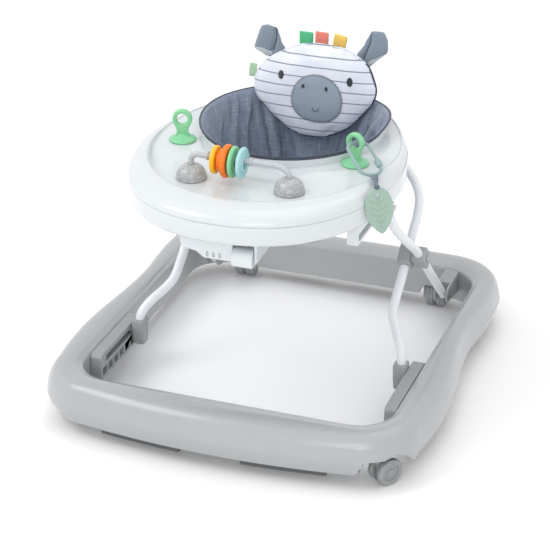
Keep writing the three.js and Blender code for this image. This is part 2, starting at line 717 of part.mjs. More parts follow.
// The height adjuster under the tray's front: a housing with index slots and a squeeze lever.
const ADJUSTER = { halfX: 62, y0: -292, y1: -226, z0: 334 };
function adjusterHousing() {
  const profile = new THREE.Shape();
  const top = TRAY.bottomZ - GAP;
  profile.moveTo(-ADJUSTER.halfX, top).lineTo(-ADJUSTER.halfX + 4, 348).lineTo(-34, 343);
  profile.lineTo(-22, ADJUSTER.z0).lineTo(22, ADJUSTER.z0).lineTo(ADJUSTER.halfX, ADJUSTER.z0 + 4);
  profile.lineTo(ADJUSTER.halfX, top);
  const body = new THREE.ExtrudeGeometry(profile, { depth: ADJUSTER.y1 - ADJUSTER.y0, bevelEnabled: false })
    .rotateX(Math.PI / 2)
    .translate(0, ADJUSTER.y1, 0);
  const bay = block(24, 58, ADJUSTER.y0 - 1, ADJUSTER.y1 - 14, ADJUSTER.z0 - 8, TRAY.bottomZ - 6);
  const slots = [-18, -8, 2].map((x) => block(x, x + 3.5, ADJUSTER.y0 - 1, ADJUSTER.y0 + 4, 337, 345));
  return cut(body, bay, ...slots);
}
piece("adjuster_housing", adjusterHousing(), MATERIAL.whiteShell);
const LEVER_AXIS = { y: -248, z: 354 };
function adjusterLever() {
  const profile = new THREE.Shape();
  profile.moveTo(-296, 330).lineTo(-256, 330).lineTo(-242, 348);
  profile.absarc(LEVER_AXIS.y, LEVER_AXIS.z - 3, 7, -0.6, Math.PI / 2, false);
  profile.lineTo(-288, 357).quadraticCurveTo(-300, 355, -300, 346).lineTo(-300, 334);
  return slabX(profile, 25, 57);
}
piece("adjuster_lever", adjusterLever(), MATERIAL.whiteShell);

// ---- Seat ------------------------------------------------------------------------------------------
// A crowned pad: an ellipse in its own XZ plane that thins to a seam round its edge.
function crownedPad(halfX, halfZ, halfDepth, count = 24, rings = 3) {
  const rows = [];
  for (let i = 0; i <= 2 * rings; i++) {
    const a = (Math.PI * i) / (2 * rings) - Math.PI / 2;
    const spread = Math.max(Math.cos(a), 0.12) ** 0.8;
    rows.push(
      Array.from({ length: count }, (_, k) => {
        const b = (2 * Math.PI * k) / count;
        return [halfX * spread * Math.cos(b), halfDepth * Math.sin(a), halfZ * spread * Math.sin(b)];
      }),
    );
  }
  return skin(rows);
}
const HEAD = { y: 147, z: 446, halfX: 103, halfZ: 80, halfDepth: 19, lean: 8 };

// Levels of the fabric bucket: height, half width, front and rear.
const BUCKET = [
  [430, 149, -115, 207],
  [425.4, 149, -115, 207],
  [425.4, 143, -108, 200],
  [400, 142.5, -104, 194],
  [370, 139, -102, 179],
  [338, 130, -88, 172],
  [300, 118, -68, 160],
  [262, 98, -40, 142],
  [232, 70, -6, 116],
  [212, 36, 26, 84],
];
function ovalRow([z, halfX, front, rear], inset, lift, count = 24) {
  return Array.from({ length: count }, (_, i) => {
    const a = (2 * Math.PI * (i + 0.5)) / count;
    return [
      (halfX - inset) * Math.cos(a),
      (front + rear) / 2 + ((rear - front) / 2 - inset) * Math.sin(a),
      z + lift,
    ];
  });
}
function seatBucket() {
  const outside = skin(BUCKET.map((level) => ovalRow(level, 0, 0)));
  const hollow = [[440, 143, -108, 200], BUCKET[2], ...BUCKET.slice(4)];
  const inside = skin(hollow.map((level, i) => ovalRow(level, 6, i === hollow.length - 1 ? 6 : 0)));
  const legHoles = SIDES.map(({ mirror }) =>
    new THREE.CylinderGeometry(34, 34, 60, 18).rotateX(rad(34)).translate(mirror * 58, -44, 268),
  );
  const backPanel = crownedPad(92, 34, 6, 20, 2).rotateX(rad(-HEAD.lean)).translate(0, 200, 456);
  return join(cut(outside, inside, ...legHoles), backPanel);
}
piece("seat_bucket", seatBucket(), MATERIAL.chambray);

const head = piece("head_pad", crownedPad(HEAD.halfX, HEAD.halfZ, HEAD.halfDepth), MATERIAL.faceCloth);
head.position.set(0, HEAD.y, HEAD.z);
head.rotation.x = rad(-HEAD.lean);

for (const { name, mirror } of SIDES) {
  const ear = piece(`ear_${name}`, new THREE.SphereGeometry(1, 12, 8), MATERIAL.greyCloth);
  ear.scale.set(23, 8, 29);
  ear.position.set(mirror * 100, 174, 516);
  ear.rotation.y = rad(mirror * 24);
}

// ---- Toys ------------------------------------------------------------------------------------------
const { x: barX, footX, deckZ, axisZ } = TOY_BAR;
const domeTop = deckZ + TOY_BAR.domeH;
const barLine = [
  [-footX, TOY_BAR.y, domeTop - 6],
  [-footX, TOY_BAR.y, domeTop + 4],
  [-footX + 1, TOY_BAR.y, axisZ - 6],
  [-footX + 8, TOY_BAR.y, axisZ - 0.5],
  [-footX + 18, TOY_BAR.y, axisZ],
  [-20, TOY_BAR.y, axisZ],
  [42, TOY_BAR.y, axisZ],
  [59, TOY_BAR.y, axisZ - 0.5],
  [72, TOY_BAR.y, axisZ - 5],
  [footX, TOY_BAR.y, domeTop + 4],
  [footX, TOY_BAR.y, domeTop - 6],
];
piece("toy_bar", tube(barLine, TOY_BAR.radius, 26, 8), MATERIAL.clearGrey).position.x = barX;
function barDome(barHole) {
  const steps = 5;
  const profile = [[0, 0]];
  for (let i = 0; i <= steps; i++) {
    const a = (Math.PI / 2) * (i / steps);
    const radius = i === steps ? 0 : TOY_BAR.domeR * Math.cos(a);
    profile.push([radius, 3 + (TOY_BAR.domeH - 3) * Math.sin(a)]);
  }
  return cut(turned(profile, 18), barHole);
}
for (const { name, mirror } of SIDES) {
  const hole = rodZ(0, 0, TOY_BAR.domeH - 12, TOY_BAR.domeH + 5, TOY_BAR.radius + 1.8, 12);
  const dome = piece(`bar_dome_${name}`, barDome(hole), MATERIAL.clearGrey);
  dome.position.set(barX + mirror * footX, TOY_BAR.y, deckZ);
}

// The four rings hang on the bar by their wide bores, so their middles stand RING_DROP below it.
// Outline points are [radius, distance along the bar from the ring's middle].
const RING_DROP = 4.2;
const BORE_R = TOY_BAR.radius + RING_DROP + 0.4;
const ringOutline = {
  yellow: [[BORE_R, -4], [19, -4], [22, -1.5], [22, 1.5], [19, 4], [BORE_R, 4]],
  orange: [[BORE_R, -12], [17, -12], [17, -4], [23, -5], [26, -2], [26, 2], [23, 5], [BORE_R, 4]],
  green: [[BORE_R, -3.5], [22, -3.5], [24.5, -1.5], [24.5, 1.5], [22, 3.5], [BORE_R, 3.5]],
  sky: [[BORE_R, -4], [22, -4], [25, -1.5], [25, 1], [21, 3], [13, 3], [12, 4.5], [BORE_R, 4.5]],
};
const RINGS = [
  ["yellow", -44.4, MATERIAL.yellow],
  ["orange", -26.6, MATERIAL.orange],
  ["green", -15.7, MATERIAL.mint],
  ["sky", -1.5, MATERIAL.sky],
];
for (const [colour, x, material] of RINGS) {
  const outline = ringOutline[colour];
  const ring = turned([...outline, outline[0]], 20).rotateY(Math.PI / 2);
  piece(`ring_${colour}`, ring, material).position.set(x, TOY_BAR.y, axisZ - RING_DROP);
}

// A post with a flared disc foot and an eye at the top.
function loopPost() {
  const { discR, eyeR, rimR } = LOOP_POST;
  const eyeHeight = LOOP_POST.eyeZ - LOOP_POST.deckZ;
  const stem = turned(
    [
      [0, 0],
      [discR, 0],
      [discR, 3],
      [discR - 9, 8],
      [10, 12],
      [9, 17],
      [10, eyeHeight - 11],
      [0, eyeHeight - 11],
    ],
    18,
  );
  const rim = turned([[0, -4], [rimR - 2.5, -4], [rimR, -1.5], [rimR, 1.5], [rimR - 2.5, 4], [0, 4]], 18)
    .rotateX(Math.PI / 2)
    .translate(0, 0, eyeHeight);
  const eye = new THREE.CylinderGeometry(eyeR, eyeR, 40, 14).translate(0, 0, eyeHeight);
  return cut(join(stem, rim), eye);
}
for (const { name, mirror } of SIDES) {
  const post = piece(`loop_post_${name}`, loopPost(), MATERIAL.mint);
  post.position.set(LOOP_POST.x[name], LOOP_POST.y, LOOP_POST.deckZ);
  post.rotation.z = rad(-mirror * LOOP_POST.turn);
}

// The oval link through the right post's eye. It slopes down over the tray's edge along LINK_RUN.
const LINK_EYE = new THREE.Vector3(LOOP_POST.x.right, LOOP_POST.y, LOOP_POST.eyeZ);
const LINK_RUN = new THREE.Vector3(0.6, -0.756, -0.262).normalize();
const LINK_SIDE = new THREE.Vector3(0.783, 0.622, 0).normalize();
const LINK = { length: 82, endR: 17.5, wireR: 2, perEnd: 6 };
function linkRing() {
  const centres = [LINK.endR, LINK.length - LINK.endR];
  const line = [];
  centres.forEach((centre, end) => {
    for (let i = 0; i <= LINK.perEnd; i++) {
      const a = Math.PI * (i / LINK.perEnd) - Math.PI / 2;
      const way = end ? 1 : -1;
      const [cos, sin] = [way * Math.cos(a), way * Math.sin(a)];
      line.push({ run: centre + LINK.endR * cos, side: LINK.endR * sin, cos, sin });
    }
  });
  const normal = LINK_RUN.clone().cross(LINK_SIDE);
  const rows = line.map(({ run, side, cos, sin }) =>
    Array.from({ length: 8 }, (_, k) => {
      const b = (2 * Math.PI * k) / 8;
      const out = LINK.wireR * Math.cos(b);
      return LINK_EYE.clone()
        .addScaledVector(LINK_RUN, run + out * cos)
        .addScaledVector(LINK_SIDE, side + out * sin)
        .addScaledVector(normal, LINK.wireR * Math.sin(b))
        .toArray();
    }),
  );
  return skin(rows, { ring: true });
}
piece("link_ring", linkRing(), MATERIAL.linkGreen);

const LEAF = { x: 206.5, y: -171, topZ: 430.5, height: 76, halfWidth: 22, thick: 3.4, facing: 33.5, tilt: 9 };
function leafPlate() {
  const { height: h, halfWidth: w } = LEAF;
  const shape = new THREE.Shape();
  shape.moveTo(-5, 0).lineTo(5, 0).bezierCurveTo(w * 0.9, -8, w * 1.15, -h * 0.45, w * 0.8, -h * 0.65);
  shape.lineTo(2, -h).lineTo(-2, -h).lineTo(-w * 0.8, -h * 0.65);
  shape.bezierCurveTo(-w * 1.15, -h * 0.45, -w * 0.9, -8, -5, 0);
  const hole = new THREE.Path().absellipse(0, -11, 3.2, 5, 0, 2 * Math.PI);
  shape.holes.push(hole);
  return new THREE.ExtrudeGeometry(shape, { depth: LEAF.thick, bevelEnabled: false, curveSegments: 5 })
    .translate(0, 0, -LEAF.thick / 2)
    .rotateX(Math.PI / 2)
    .rotateY(rad(-LEAF.tilt));
}
const leaf = piece("leaf", leafPlate(), MATERIAL.sage);
leaf.position.set(LEAF.x, LEAF.y, LEAF.topZ);
leaf.rotation.z = rad(LEAF.facing);

// The strap from the link's far end to the leaf's top edge.
const strapStart = LINK_EYE.clone().addScaledVector(LINK_RUN, LINK.length + LINK.wireR + GAP + 0.8);
const strapEnd = new THREE.Vector3(LEAF.x, LEAF.y, LEAF.topZ + 3.6);
const strapLine = [
  strapStart.toArray(),
  strapStart.clone().lerp(strapEnd, 0.5).add(new THREE.Vector3(0, 0, 2)).toArray(),
  strapEnd.toArray(),
];
piece("leaf_strap", tube(strapLine, 2.6, 6, 8), MATERIAL.darkRubber);

export default walker;
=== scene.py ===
"""The looks of a folding baby walker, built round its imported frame.

Lengths in this script are millimetres and become metres when a mesh is made. +Z is up and the walker
faces -Y.
"""

import math

import bmesh
import bpy
import numpy as np
from mathutils import Matrix, Vector
from mathutils.bvhtree import BVHTree
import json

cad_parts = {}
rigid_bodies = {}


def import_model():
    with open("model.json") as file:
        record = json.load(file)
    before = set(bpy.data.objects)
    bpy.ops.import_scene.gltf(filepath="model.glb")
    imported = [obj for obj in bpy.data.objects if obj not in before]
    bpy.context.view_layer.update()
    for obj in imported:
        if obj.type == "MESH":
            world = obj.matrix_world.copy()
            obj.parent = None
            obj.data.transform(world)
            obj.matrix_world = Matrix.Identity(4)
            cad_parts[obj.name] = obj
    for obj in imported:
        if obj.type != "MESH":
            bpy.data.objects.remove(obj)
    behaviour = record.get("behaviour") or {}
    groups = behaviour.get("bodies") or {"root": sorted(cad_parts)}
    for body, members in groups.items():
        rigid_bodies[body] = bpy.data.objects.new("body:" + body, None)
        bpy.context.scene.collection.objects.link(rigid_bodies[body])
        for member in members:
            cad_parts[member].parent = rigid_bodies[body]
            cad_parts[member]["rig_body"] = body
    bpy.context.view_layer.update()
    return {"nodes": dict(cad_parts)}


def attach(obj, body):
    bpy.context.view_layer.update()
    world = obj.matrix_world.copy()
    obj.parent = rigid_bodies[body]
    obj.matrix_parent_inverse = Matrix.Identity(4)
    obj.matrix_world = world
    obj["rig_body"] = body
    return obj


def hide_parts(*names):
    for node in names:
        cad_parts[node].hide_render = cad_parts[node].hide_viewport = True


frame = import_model()
NODES = frame["nodes"]
MM = 0.001
SIDES = (("right", 1), ("left", -1))


# ---- Numbers ----------------------------------------------------------------------------------------
def mix(a, b, t):
    return a + (b - a) * t


def smooth(t):
    t = min(1.0, max(0.0, t))
    return t * t * (3 - 2 * t)


def turns(count):
    """Angles evenly spread round a full turn."""
    return np.linspace(0, 2 * math.pi, count, endpoint=False)


def wrapped(angle):
    """An angle brought between minus and plus half a turn."""
    return (angle + math.pi) % (2 * math.pi) - math.pi


def bowed(value, exponent):
    """A signed power, which squares off an ellipse."""
    return math.copysign(abs(value) ** exponent, value)


def drawn_in(outline, centre, share):
    """An outline drawn towards its centre."""
    return centre + (np.array(outline, float) - centre) * share


def mirrored(half, middle=()):
    """A whole turned profile from the half beyond its middle."""
    return [(r, -x) for r, x in reversed(half)] + list(middle) + half


def resample(points, count, closed=False):
    """A centripetal Catmull-Rom curve through the points, as count points evenly spread along it."""
    pts = [np.array(p, float) for p in points]
    if closed:
        ring = [pts[-1]] + pts + pts[:2]
    else:
        ring = [2 * pts[0] - pts[1]] + pts + [2 * pts[-1] - pts[-2]]
    fine = []
    for i in range(1, len(ring) - 2):
        p0, p1, p2, p3 = ring[i - 1 : i + 3]
        t1 = max(np.linalg.norm(p1 - p0), 1e-6) ** 0.5
        t2 = t1 + max(np.linalg.norm(p2 - p1), 1e-6) ** 0.5
        t3 = t2 + max(np.linalg.norm(p3 - p2), 1e-6) ** 0.5
        for t in np.linspace(t1, t2, 13)[:-1]:
            a1 = p0 * (t1 - t) / t1 + p1 * t / t1
            a2 = p1 * (t2 - t) / (t2 - t1) + p2 * (t - t1) / (t2 - t1)
            a3 = p2 * (t3 - t) / (t3 - t2) + p3 * (t - t2) / (t3 - t2)
            b1 = a1 * (t2 - t) / t2 + a2 * t / t2
            b2 = a2 * (t3 - t) / (t3 - t1) + a3 * (t - t1) / (t3 - t1)
            fine.append(b1 * (t2 - t) / (t2 - t1) + b2 * (t - t1) / (t2 - t1))
    fine.append(pts[0] if closed else pts[-1])
    fine = np.array(fine)
    along = np.concatenate([[0], np.cumsum(np.linalg.norm(np.diff(fine, axis=0), axis=1))])
    wanted = np.linspace(0, along[-1], count + 1 if closed else count)
    line = np.stack([np.interp(wanted, along, fine[:, k]) for k in range(fine.shape[1])], axis=1)
    return line[:-1] if closed else line


# ---- Materials --------------------------------------------------------------------------------------
def rgb(code, gain=1.0):
    """A hex sRGB colour as linear RGBA."""
    parts = [int(code[i : i + 2], 16) / 255 for i in (1, 3, 5)]
    linear = [c / 12.92 if c <= 0.04045 else ((c + 0.055) / 1.055) ** 2.4 for c in parts]
    return (*[min(1.0, c * gain) for c in linear], 1.0)


class Finish:
    """A node material under construction."""

    def __init__(self, name, roughness=0.5, **sockets):
        self.material = bpy.data.materials.new(name)
        self.material.use_nodes = True
        self.tree = self.material.node_tree
        self.shader = self.tree.nodes["Principled BSDF"]
        self.shader.inputs["Roughness"].default_value = roughness
        for key, value in sockets.items():
            self.shader.inputs[key.replace("_", " ")].default_value = value

    def add(self, kind, inputs=None, **settings):
        node = self.tree.nodes.new("ShaderNode" + kind)
        for key, value in settings.items():
            setattr(node, key, value)
        for key, value in (inputs or {}).items():
            self.put(node.inputs[key], value)
        return node

    def put(self, socket, value):
        if isinstance(value, bpy.types.NodeSocket):
            self.tree.links.new(value, socket)
        else:
            socket.default_value = value

    def place(self, scale=(1, 1, 1), uv=False, turn=(0, 0, 0)):
        """Coordinates in metres: of the object, or of the cloth where uv is true."""
        if uv:
            source = self.add("UVMap", uv_map="weave").outputs["UV"]
        else:
            source = self.add("TexCoord").outputs["Object"]
        mapping = self.add("Mapping", {"Vector": source})
        mapping.inputs["Scale"].default_value = scale
        mapping.inputs["Rotation"].default_value = turn
        return mapping.outputs["Vector"]

    def noise(self, place, scale, detail=3.0, roughness=0.55):
        inputs = {"Vector": place, "Scale": scale, "Detail": detail, "Roughness": roughness}
        return self.add("TexNoise", inputs).outputs["Fac"]

    def wave(self, place, scale, direction, distortion=0.0):
        settings = {"Vector": place, "Scale": scale, "Distortion": distortion, "Detail": 1.0}
        return self.add("TexWave", settings, bands_direction=direction, wave_profile="SIN").outputs["Fac"]

    def math(self, operation, a, b=0.0):
        return self.add("Math", {0: a, 1: b}, operation=operation).outputs[0]

    def span(self, value, low, high, to_low=0.0, to_high=1.0):
        inputs = {"Value": value, "From Min": low, "From Max": high, "To Min": to_low, "To Max": to_high}
        return self.add("MapRange", inputs, interpolation_type="SMOOTHSTEP").outputs["Result"]

    def blend(self, share, a, b):
        node = self.add("Mix", data_type="RGBA")
        self.put(node.inputs[0], share)
        self.put(node.inputs[6], a)
        self.put(node.inputs[7], b)
        return node.outputs[2]

    def finish(self, colour=None, roughness=None, height=None, depth=0.0002, strength=1.0):
        if colour is not None:
            self.put(self.shader.inputs["Base Color"], colour)
        if roughness is not None:
            self.put(self.shader.inputs["Roughness"], roughness)
        if height is not None:
            bump = self.add("Bump", {"Height": height, "Distance": depth, "Strength": strength})
            self.put(self.shader.inputs["Normal"], bump.outputs["Normal"])
        return self.material


def moulded(name, code, roughness, grain=0.15, grain_scale=700, drift=0.05, wear=0.0, **sockets):
    """Moulded plastic: faint flow marks in the colour, uneven gloss, and a fine surface grain."""
    f = Finish(name, roughness, **sockets)
    place = f.place()
    flow = f.noise(place, 7.0, 4.0)
    colour = f.blend(f.span(flow, 0.3, 0.7), rgb(code, 1 - drift), rgb(code, 1 + drift))
    if wear:
        edge = f.span(f.add("NewGeometry").outputs["Pointiness"], 0.52, 0.6)
        rubbed = f.math("MULTIPLY", edge, f.span(f.noise(place, 60.0, 5.0), 0.4, 0.65))
        colour = f.blend(f.math("MULTIPLY", rubbed, wear), colour, rgb("#d5d7d8"))
    smear = f.noise(place, 38.0, 6.0, 0.7)
    gloss = f.span(smear, 0.3, 0.75, roughness - 0.015, roughness + 0.025)
    fine = f.noise(place, grain_scale, 2.0)
    return f.finish(colour, gloss, fine, 0.0003, grain)


def chambray(name, dark, light, pale):
    """A plain weave with uneven slubs and painted shade in its creases, on the cloth's own coordinates."""
    f = Finish(name, 0.92, Sheen_Weight=0.25, Sheen_Roughness=0.5)
    threads = 468
    warp = f.wave(f.place((1, 1, 1), True), threads, "X", 1.5)
    weft = f.wave(f.place((1, 1, 1), True), threads, "Y", 1.5)
    across = f.noise(f.place((38, 900, 1), True), 1.0, 3.0, 0.6)
    along = f.noise(f.place((760, 30, 1), True), 1.0, 3.0, 0.6)
    streak = f.math("ADD", f.math("MULTIPLY", across, 0.5), f.math("MULTIPLY", along, 0.5))
    ground = f.blend(f.span(streak, 0.4, 0.6), rgb(dark), rgb(light))
    coarse = f.noise(f.place((16, 330, 1), True), 1.0, 2.0, 0.6)
    coarse_up = f.noise(f.place((300, 14, 1), True), 1.0, 2.0, 0.6)
    slubs = f.math("MAXIMUM", f.span(coarse, 0.6, 0.72), f.span(coarse_up, 0.6, 0.72))
    colour = f.blend(f.math("MULTIPLY", slubs, 0.55), ground, rgb(pale))
    patch = f.noise(f.place((1, 1, 1), True), 22.0, 3.0)
    colour = f.blend(f.span(patch, 0.35, 0.7, 0.0, 0.25), colour, rgb(dark))
    # Painted shade: the colour darkens towards the dark thread colour where the cloth folds inward.
    painted_crease_shade = f.span(f.add("NewGeometry").outputs["Pointiness"], 0.455, 0.495, 0.75, 0.0)
    colour = f.blend(painted_crease_shade, colour, rgb(dark, 0.35))
    over = f.math("MAXIMUM", warp, weft)
    crossing = f.math("MULTIPLY", warp, weft)
    height = f.math("ADD", f.math("ADD", over, f.math("MULTIPLY", crossing, 0.5)), slubs)
    return f.finish(colour, None, height, 0.0005, 0.6)


def ribbon(name, code):
    """Grosgrain ribbon: ribs across its length."""
    f = Finish(name, 0.7, Sheen_Weight=0.3)
    place = f.place()
    ribs = f.wave(place, 330.0, "Z", 0.5)
    shade = f.math("MULTIPLY", f.math("ADD", ribs, f.noise(place, 300.0)), 0.5)
    return f.finish(f.blend(shade, rgb(code, 0.82), rgb(code, 1.12)), None, ribs, 0.0004, 0.7)


def piping_cloth():
    """Bias binding: a fine diagonal weave."""
    f = Finish("piping_cloth", 0.85, Sheen_Weight=0.3)
    twill = f.wave(f.place((1, 1, 1), False, (0.6, 0.5, 0.7)), 420.0, "DIAGONAL", 1.0)
    fuzz = f.noise(f.place(), 500.0, 4.0)
    shade = f.math("MULTIPLY", f.math("ADD", twill, fuzz), 0.5)
    return f.finish(f.blend(shade, rgb("#262d3d"), rgb("#414a60")), None, twill, 0.0003, 0.6)


HEAD = {"y": 147, "z": 446, "lean": math.radians(8)}
STRIPES = {"gap": 17.6, "top": 73.0, "width": 0.95}


def face_cloth():
    """Pale jersey with thin woven stripes, level across the pad."""
    f = Finish("face_cloth", 0.9, Sheen_Weight=0.2)
    split = f.add("SeparateXYZ", {"Vector": f.add("TexCoord").outputs["Object"]})
    rise, back = (
        f.math("MULTIPLY", f.math("SUBTRACT", split.outputs[axis.upper()], HEAD[axis] * MM), share)
        for axis, share in (("z", math.cos(HEAD["lean"])), ("y", math.sin(HEAD["lean"])))
    )
    wander = f.math("MULTIPLY", f.math("SUBTRACT", f.noise(f.place(), 14.0, 1.0), 0.5), 0.004)
    height = f.math("ADD", f.math("ADD", rise, back), wander)
    step = f.math("DIVIDE", f.math("SUBTRACT", STRIPES["top"] * MM, height), STRIPES["gap"] * MM)
    middle = f.math("ABSOLUTE", f.math("SUBTRACT", f.math("FRACT", step), 0.5))
    half = STRIPES["width"] / STRIPES["gap"]
    stripe = f.span(middle, 0.5 - half * 1.35, 0.5 - half * 0.75)
    knit_up = f.wave(f.place(), 420.0, "X", 1.0)
    knit_over = f.wave(f.place(), 420.0, "Z", 1.0)
    knit = f.math("MULTIPLY", knit_up, knit_over)
    cloud = f.span(f.noise(f.place(), 18.0, 3.0), 0.35, 0.65)
    cream = f.blend(cloud, rgb("#dbe0ec"), rgb("#e7eaf3"))
    cream = f.blend(f.math("MULTIPLY", knit, 0.15), cream, rgb("#c3c6d6"))
    colour = f.blend(stripe, cream, rgb("#8a91a3"))
    bump = f.math("SUBTRACT", knit, f.math("MULTIPLY", stripe, 0.8))
    return f.finish(colour, None, bump, 0.0004, 0.5)


def plain_cloth(name, dark, light, scale=480.0, hatch=0.0):
    """Fine plain-weave cloth on the object's own coordinates."""
    f = Finish(name, 0.88, Sheen_Weight=0.35, Sheen_Roughness=0.4)
    place = f.place()
    warp = f.wave(place, scale, "X", 1.2)
    weft = f.wave(place, scale, "Z", 1.2)
    weave = f.math("MULTIPLY", f.math("ADD", warp, weft), 0.5)
    cloud = f.noise(place, 30.0, 4.0)
    share = f.math("ADD", f.math("MULTIPLY", weave, 0.45), f.math("MULTIPLY", cloud, 0.55))
    colour = f.blend(f.span(share, 0.25, 0.75), rgb(dark), rgb(light))
    if hatch:
        lines = f.span(f.wave(f.place(turn=(0, 0.9, 0)), 95.0, "X", 1.0), 0.5, 0.9)
        colour = f.blend(f.math("MULTIPLY", lines, hatch), colour, rgb("#e4e9ec"))
    return f.finish(colour, None, weave, 0.0003, 0.6)


def thread(name, code):
    """Satin stitch: close parallel threads."""
    f = Finish(name, 0.45, Sheen_Weight=0.3)
    lay = f.wave(f.place(turn=(0, 0.35, 0)), 640.0, "Z", 0.6)
    colour = f.blend(lay, rgb(code, 0.6), rgb(code, 1.25))
    return f.finish(colour, None, lay, 0.0004, 0.9)


def speckled():
    """Clear smoky plastic with pale flecks through it."""
    f = Finish("speckled_clear", 0.22, Transmission_Weight=0.12, Coat_Weight=0.3)
    place = f.place()
    fleck = f.add("TexVoronoi", {"Vector": place, "Scale": 420.0}).outputs["Distance"]
    cloud = f.noise(place, 210.0, 5.0, 0.7)
    ground = f.blend(f.span(cloud, 0.35, 0.65), rgb("#a2a5a6"), rgb("#bcbfc0"))
    colour = f.blend(f.span(fleck, 0.12, 0.3, 0.4, 0.0), ground, rgb("#d9dbdb"))
    return f.finish(colour, f.span(cloud, 0.3, 0.7, 0.18, 0.34), cloud, 0.0006, 0.25)


def brushed_steel():
    f = Finish("pin_steel", 0.3, Metallic=1.0)
    fine = f.noise(f.place((1, 1, 9)), 240.0, 4.0)
    colour = f.blend(fine, rgb("#8f9499"), rgb("#c7ccd0"))
    return f.finish(colour, f.span(fine, 0.3, 0.7, 0.24, 0.42), fine, 0.0001, 0.3)


def rubber(name, code, roughness=0.75):
    f = Finish(name, roughness)
    place = f.place()
    dust = f.span(f.noise(place, 45.0, 6.0, 0.7), 0.45, 0.75)
    colour = f.blend(f.math("MULTIPLY", dust, 0.35), rgb(code), rgb(code, 1.9))
    return f.finish(colour, f.span(dust, 0.0, 1.0, roughness, 0.92), f.noise(place, 900.0), 0.0004, 0.5)


M = {
    "shell": moulded("grey_gloss_shell", "#a6a8aa", 0.24, 0.03, 400, 0.012, 0.0, Coat_Weight=0.35),
    "trim": moulded("grey_textured_trim", "#979a9b", 0.5, 0.5, 1300, 0.04, 0.15),
    "white": moulded("white_gloss_shell", "#cfd4d7", 0.2, 0.02, 400, 0.008, 0.0, Coat_Weight=0.4),
    "tube": moulded("white_powder_coat", "#e2e6ea", 0.32, 0.35, 1100, 0.02, 0.0, Coat_Weight=0.2),
    "wheel": moulded("grey_wheel", "#8d8f90", 0.45, 0.4, 900, 0.06, 0.5),
    "rubber": rubber("grip_rubber", "#515355"),
    "steel": brushed_steel(),
    "mint": moulded("mint_plastic", "#7fc796", 0.33, 0.08, 600, 0.05, 0.0, Subsurface_Weight=0.1),
    "sage": moulded("sage_silicone", "#9ab3a5", 0.48, 0.25, 700, 0.05),
    "link": moulded("link_plastic", "#8ba3a2", 0.35, 0.1, 600, 0.05),
    "yellow": moulded("yellow_plastic", "#f6b412", 0.32, 0.08, 600, 0.05),
    "orange": moulded("orange_plastic", "#ee7612", 0.32, 0.08, 600, 0.07),
    "rust": moulded("rust_plastic", "#c9541c", 0.36, 0.08, 600, 0.07),
    "sky": moulded("sky_plastic", "#a6d2d6", 0.33, 0.08, 600, 0.05),
    # A near-black finish for the thin band round the sky ring's centre hole: painted shade of the hole.
    "dark": moulded("painted_hole_shade", "#22272b", 0.4, 0.2, 600, 0.05),
    "speckled": speckled(),
    "smoky": moulded("smoky_bar", "#b4b8bc", 0.28, 0.08, 500, 0.03, 0.0, Coat_Weight=0.3),
    "seat": chambray("seat_chambray", "#77839a", "#9ba6b8", "#ccd3dd"),
    "face": face_cloth(),
    "strap": plain_cloth("strap_webbing", "#515e6e", "#6d7b8c", 700.0),
    "snout": plain_cloth("snout_cloth", "#8c99a7", "#9aa7b4"),
    "ear": plain_cloth("ear_cloth", "#75828e", "#8a97a4"),
    "lining": plain_cloth("ear_lining", "#8d9ba1", "#b3bfc2", 480.0, 0.7),
    "piping": piping_cloth(),
    "stitch": thread("dark_thread", "#2c3240"),
    "smile": thread("grey_thread", "#5d6b77"),
    "tag_green": ribbon("green_ribbon", "#4fc185"),
    "tag_coral": ribbon("coral_ribbon", "#ec8470"),
    "tag_yellow": ribbon("yellow_ribbon", "#f2cb60"),
    "tag_pale": ribbon("pale_ribbon", "#b9dcb8"),
}


# ---- Meshes -----------------------------------------------------------------------------------------
def make(name, points, faces, material, uvs=None, sharp=38):
    """A closed, smooth-shaded mesh object from millimetre points."""
    mesh = bpy.data.meshes.new(name)
    mesh.from_pydata([[c * MM for c in p] for p in points], [], [list(f) for f in faces])
    if uvs is not None:
        layer = mesh.uv_layers.new(name="weave")
        layer.data.foreach_set("uv", np.array(uvs, np.float32).ravel() * MM)
    return dress(name, mesh, material, sharp)


def dress(name, mesh, material, sharp=38):
    """Faces a mesh outwards, marks its creases, gives it a material and links its object."""
    bm = bmesh.new()
    bm.from_mesh(mesh)
    bmesh.ops.recalc_face_normals(bm, faces=bm.faces)
    if bm.calc_volume(signed=True) < 0:
        bmesh.ops.reverse_faces(bm, faces=bm.faces)
    for edge in bm.edges:
        edge.smooth = len(edge.link_faces) == 2 and edge.calc_face_angle(0) < math.radians(sharp)
    for face in bm.faces:
        face.smooth = True
    bm.to_mesh(mesh)
    bm.free()
    mesh.materials.clear()
    mesh.materials.append(M[material] if isinstance(material, str) else material)
    obj = bpy.data.objects.new(name, mesh)
    bpy.context.scene.collection.objects.link(obj)
    return obj


def loft(name, rows, material, ring=False, uv=False, sharp=38):
    """A surface through equal closed rows of points, closed end to end or by a fan at each end."""
    rows = np.array(rows, float)
    count, width = rows.shape[:2]
    points = rows.reshape(-1, 3).tolist()
    around = np.linalg.norm(np.roll(rows, -1, 1) - rows, axis=2).mean(0)
    u = np.concatenate([[0], np.cumsum(around)])
    steps = np.linalg.norm(np.roll(rows, -1, 0) - rows, axis=2).mean(1)
    v = np.concatenate([[0], np.cumsum(steps)])
    faces, uvs = [], []
    for i in range(count if ring else count - 1):
        a, b = i * width, ((i + 1) % count) * width
        for k in range(width):
            n = (k + 1) % width
            faces.append((a + k, a + n, b + n, b + k))
            uvs += [(u[k], v[i]), (u[k + 1], v[i]), (u[k + 1], v[i + 1]), (u[k], v[i + 1])]
    if not ring:
        for row in (0, count - 1):
            points.append(rows[row].mean(0).tolist())
            for k in range(width):
                faces.append((row * width + k, row * width + (k + 1) % width, len(points) - 1))
                uvs += [(u[k], v[row]), (u[k + 1], v[row]), (u[k], v[row])]
    return make(name, points, faces, material, uvs if uv else None, sharp)


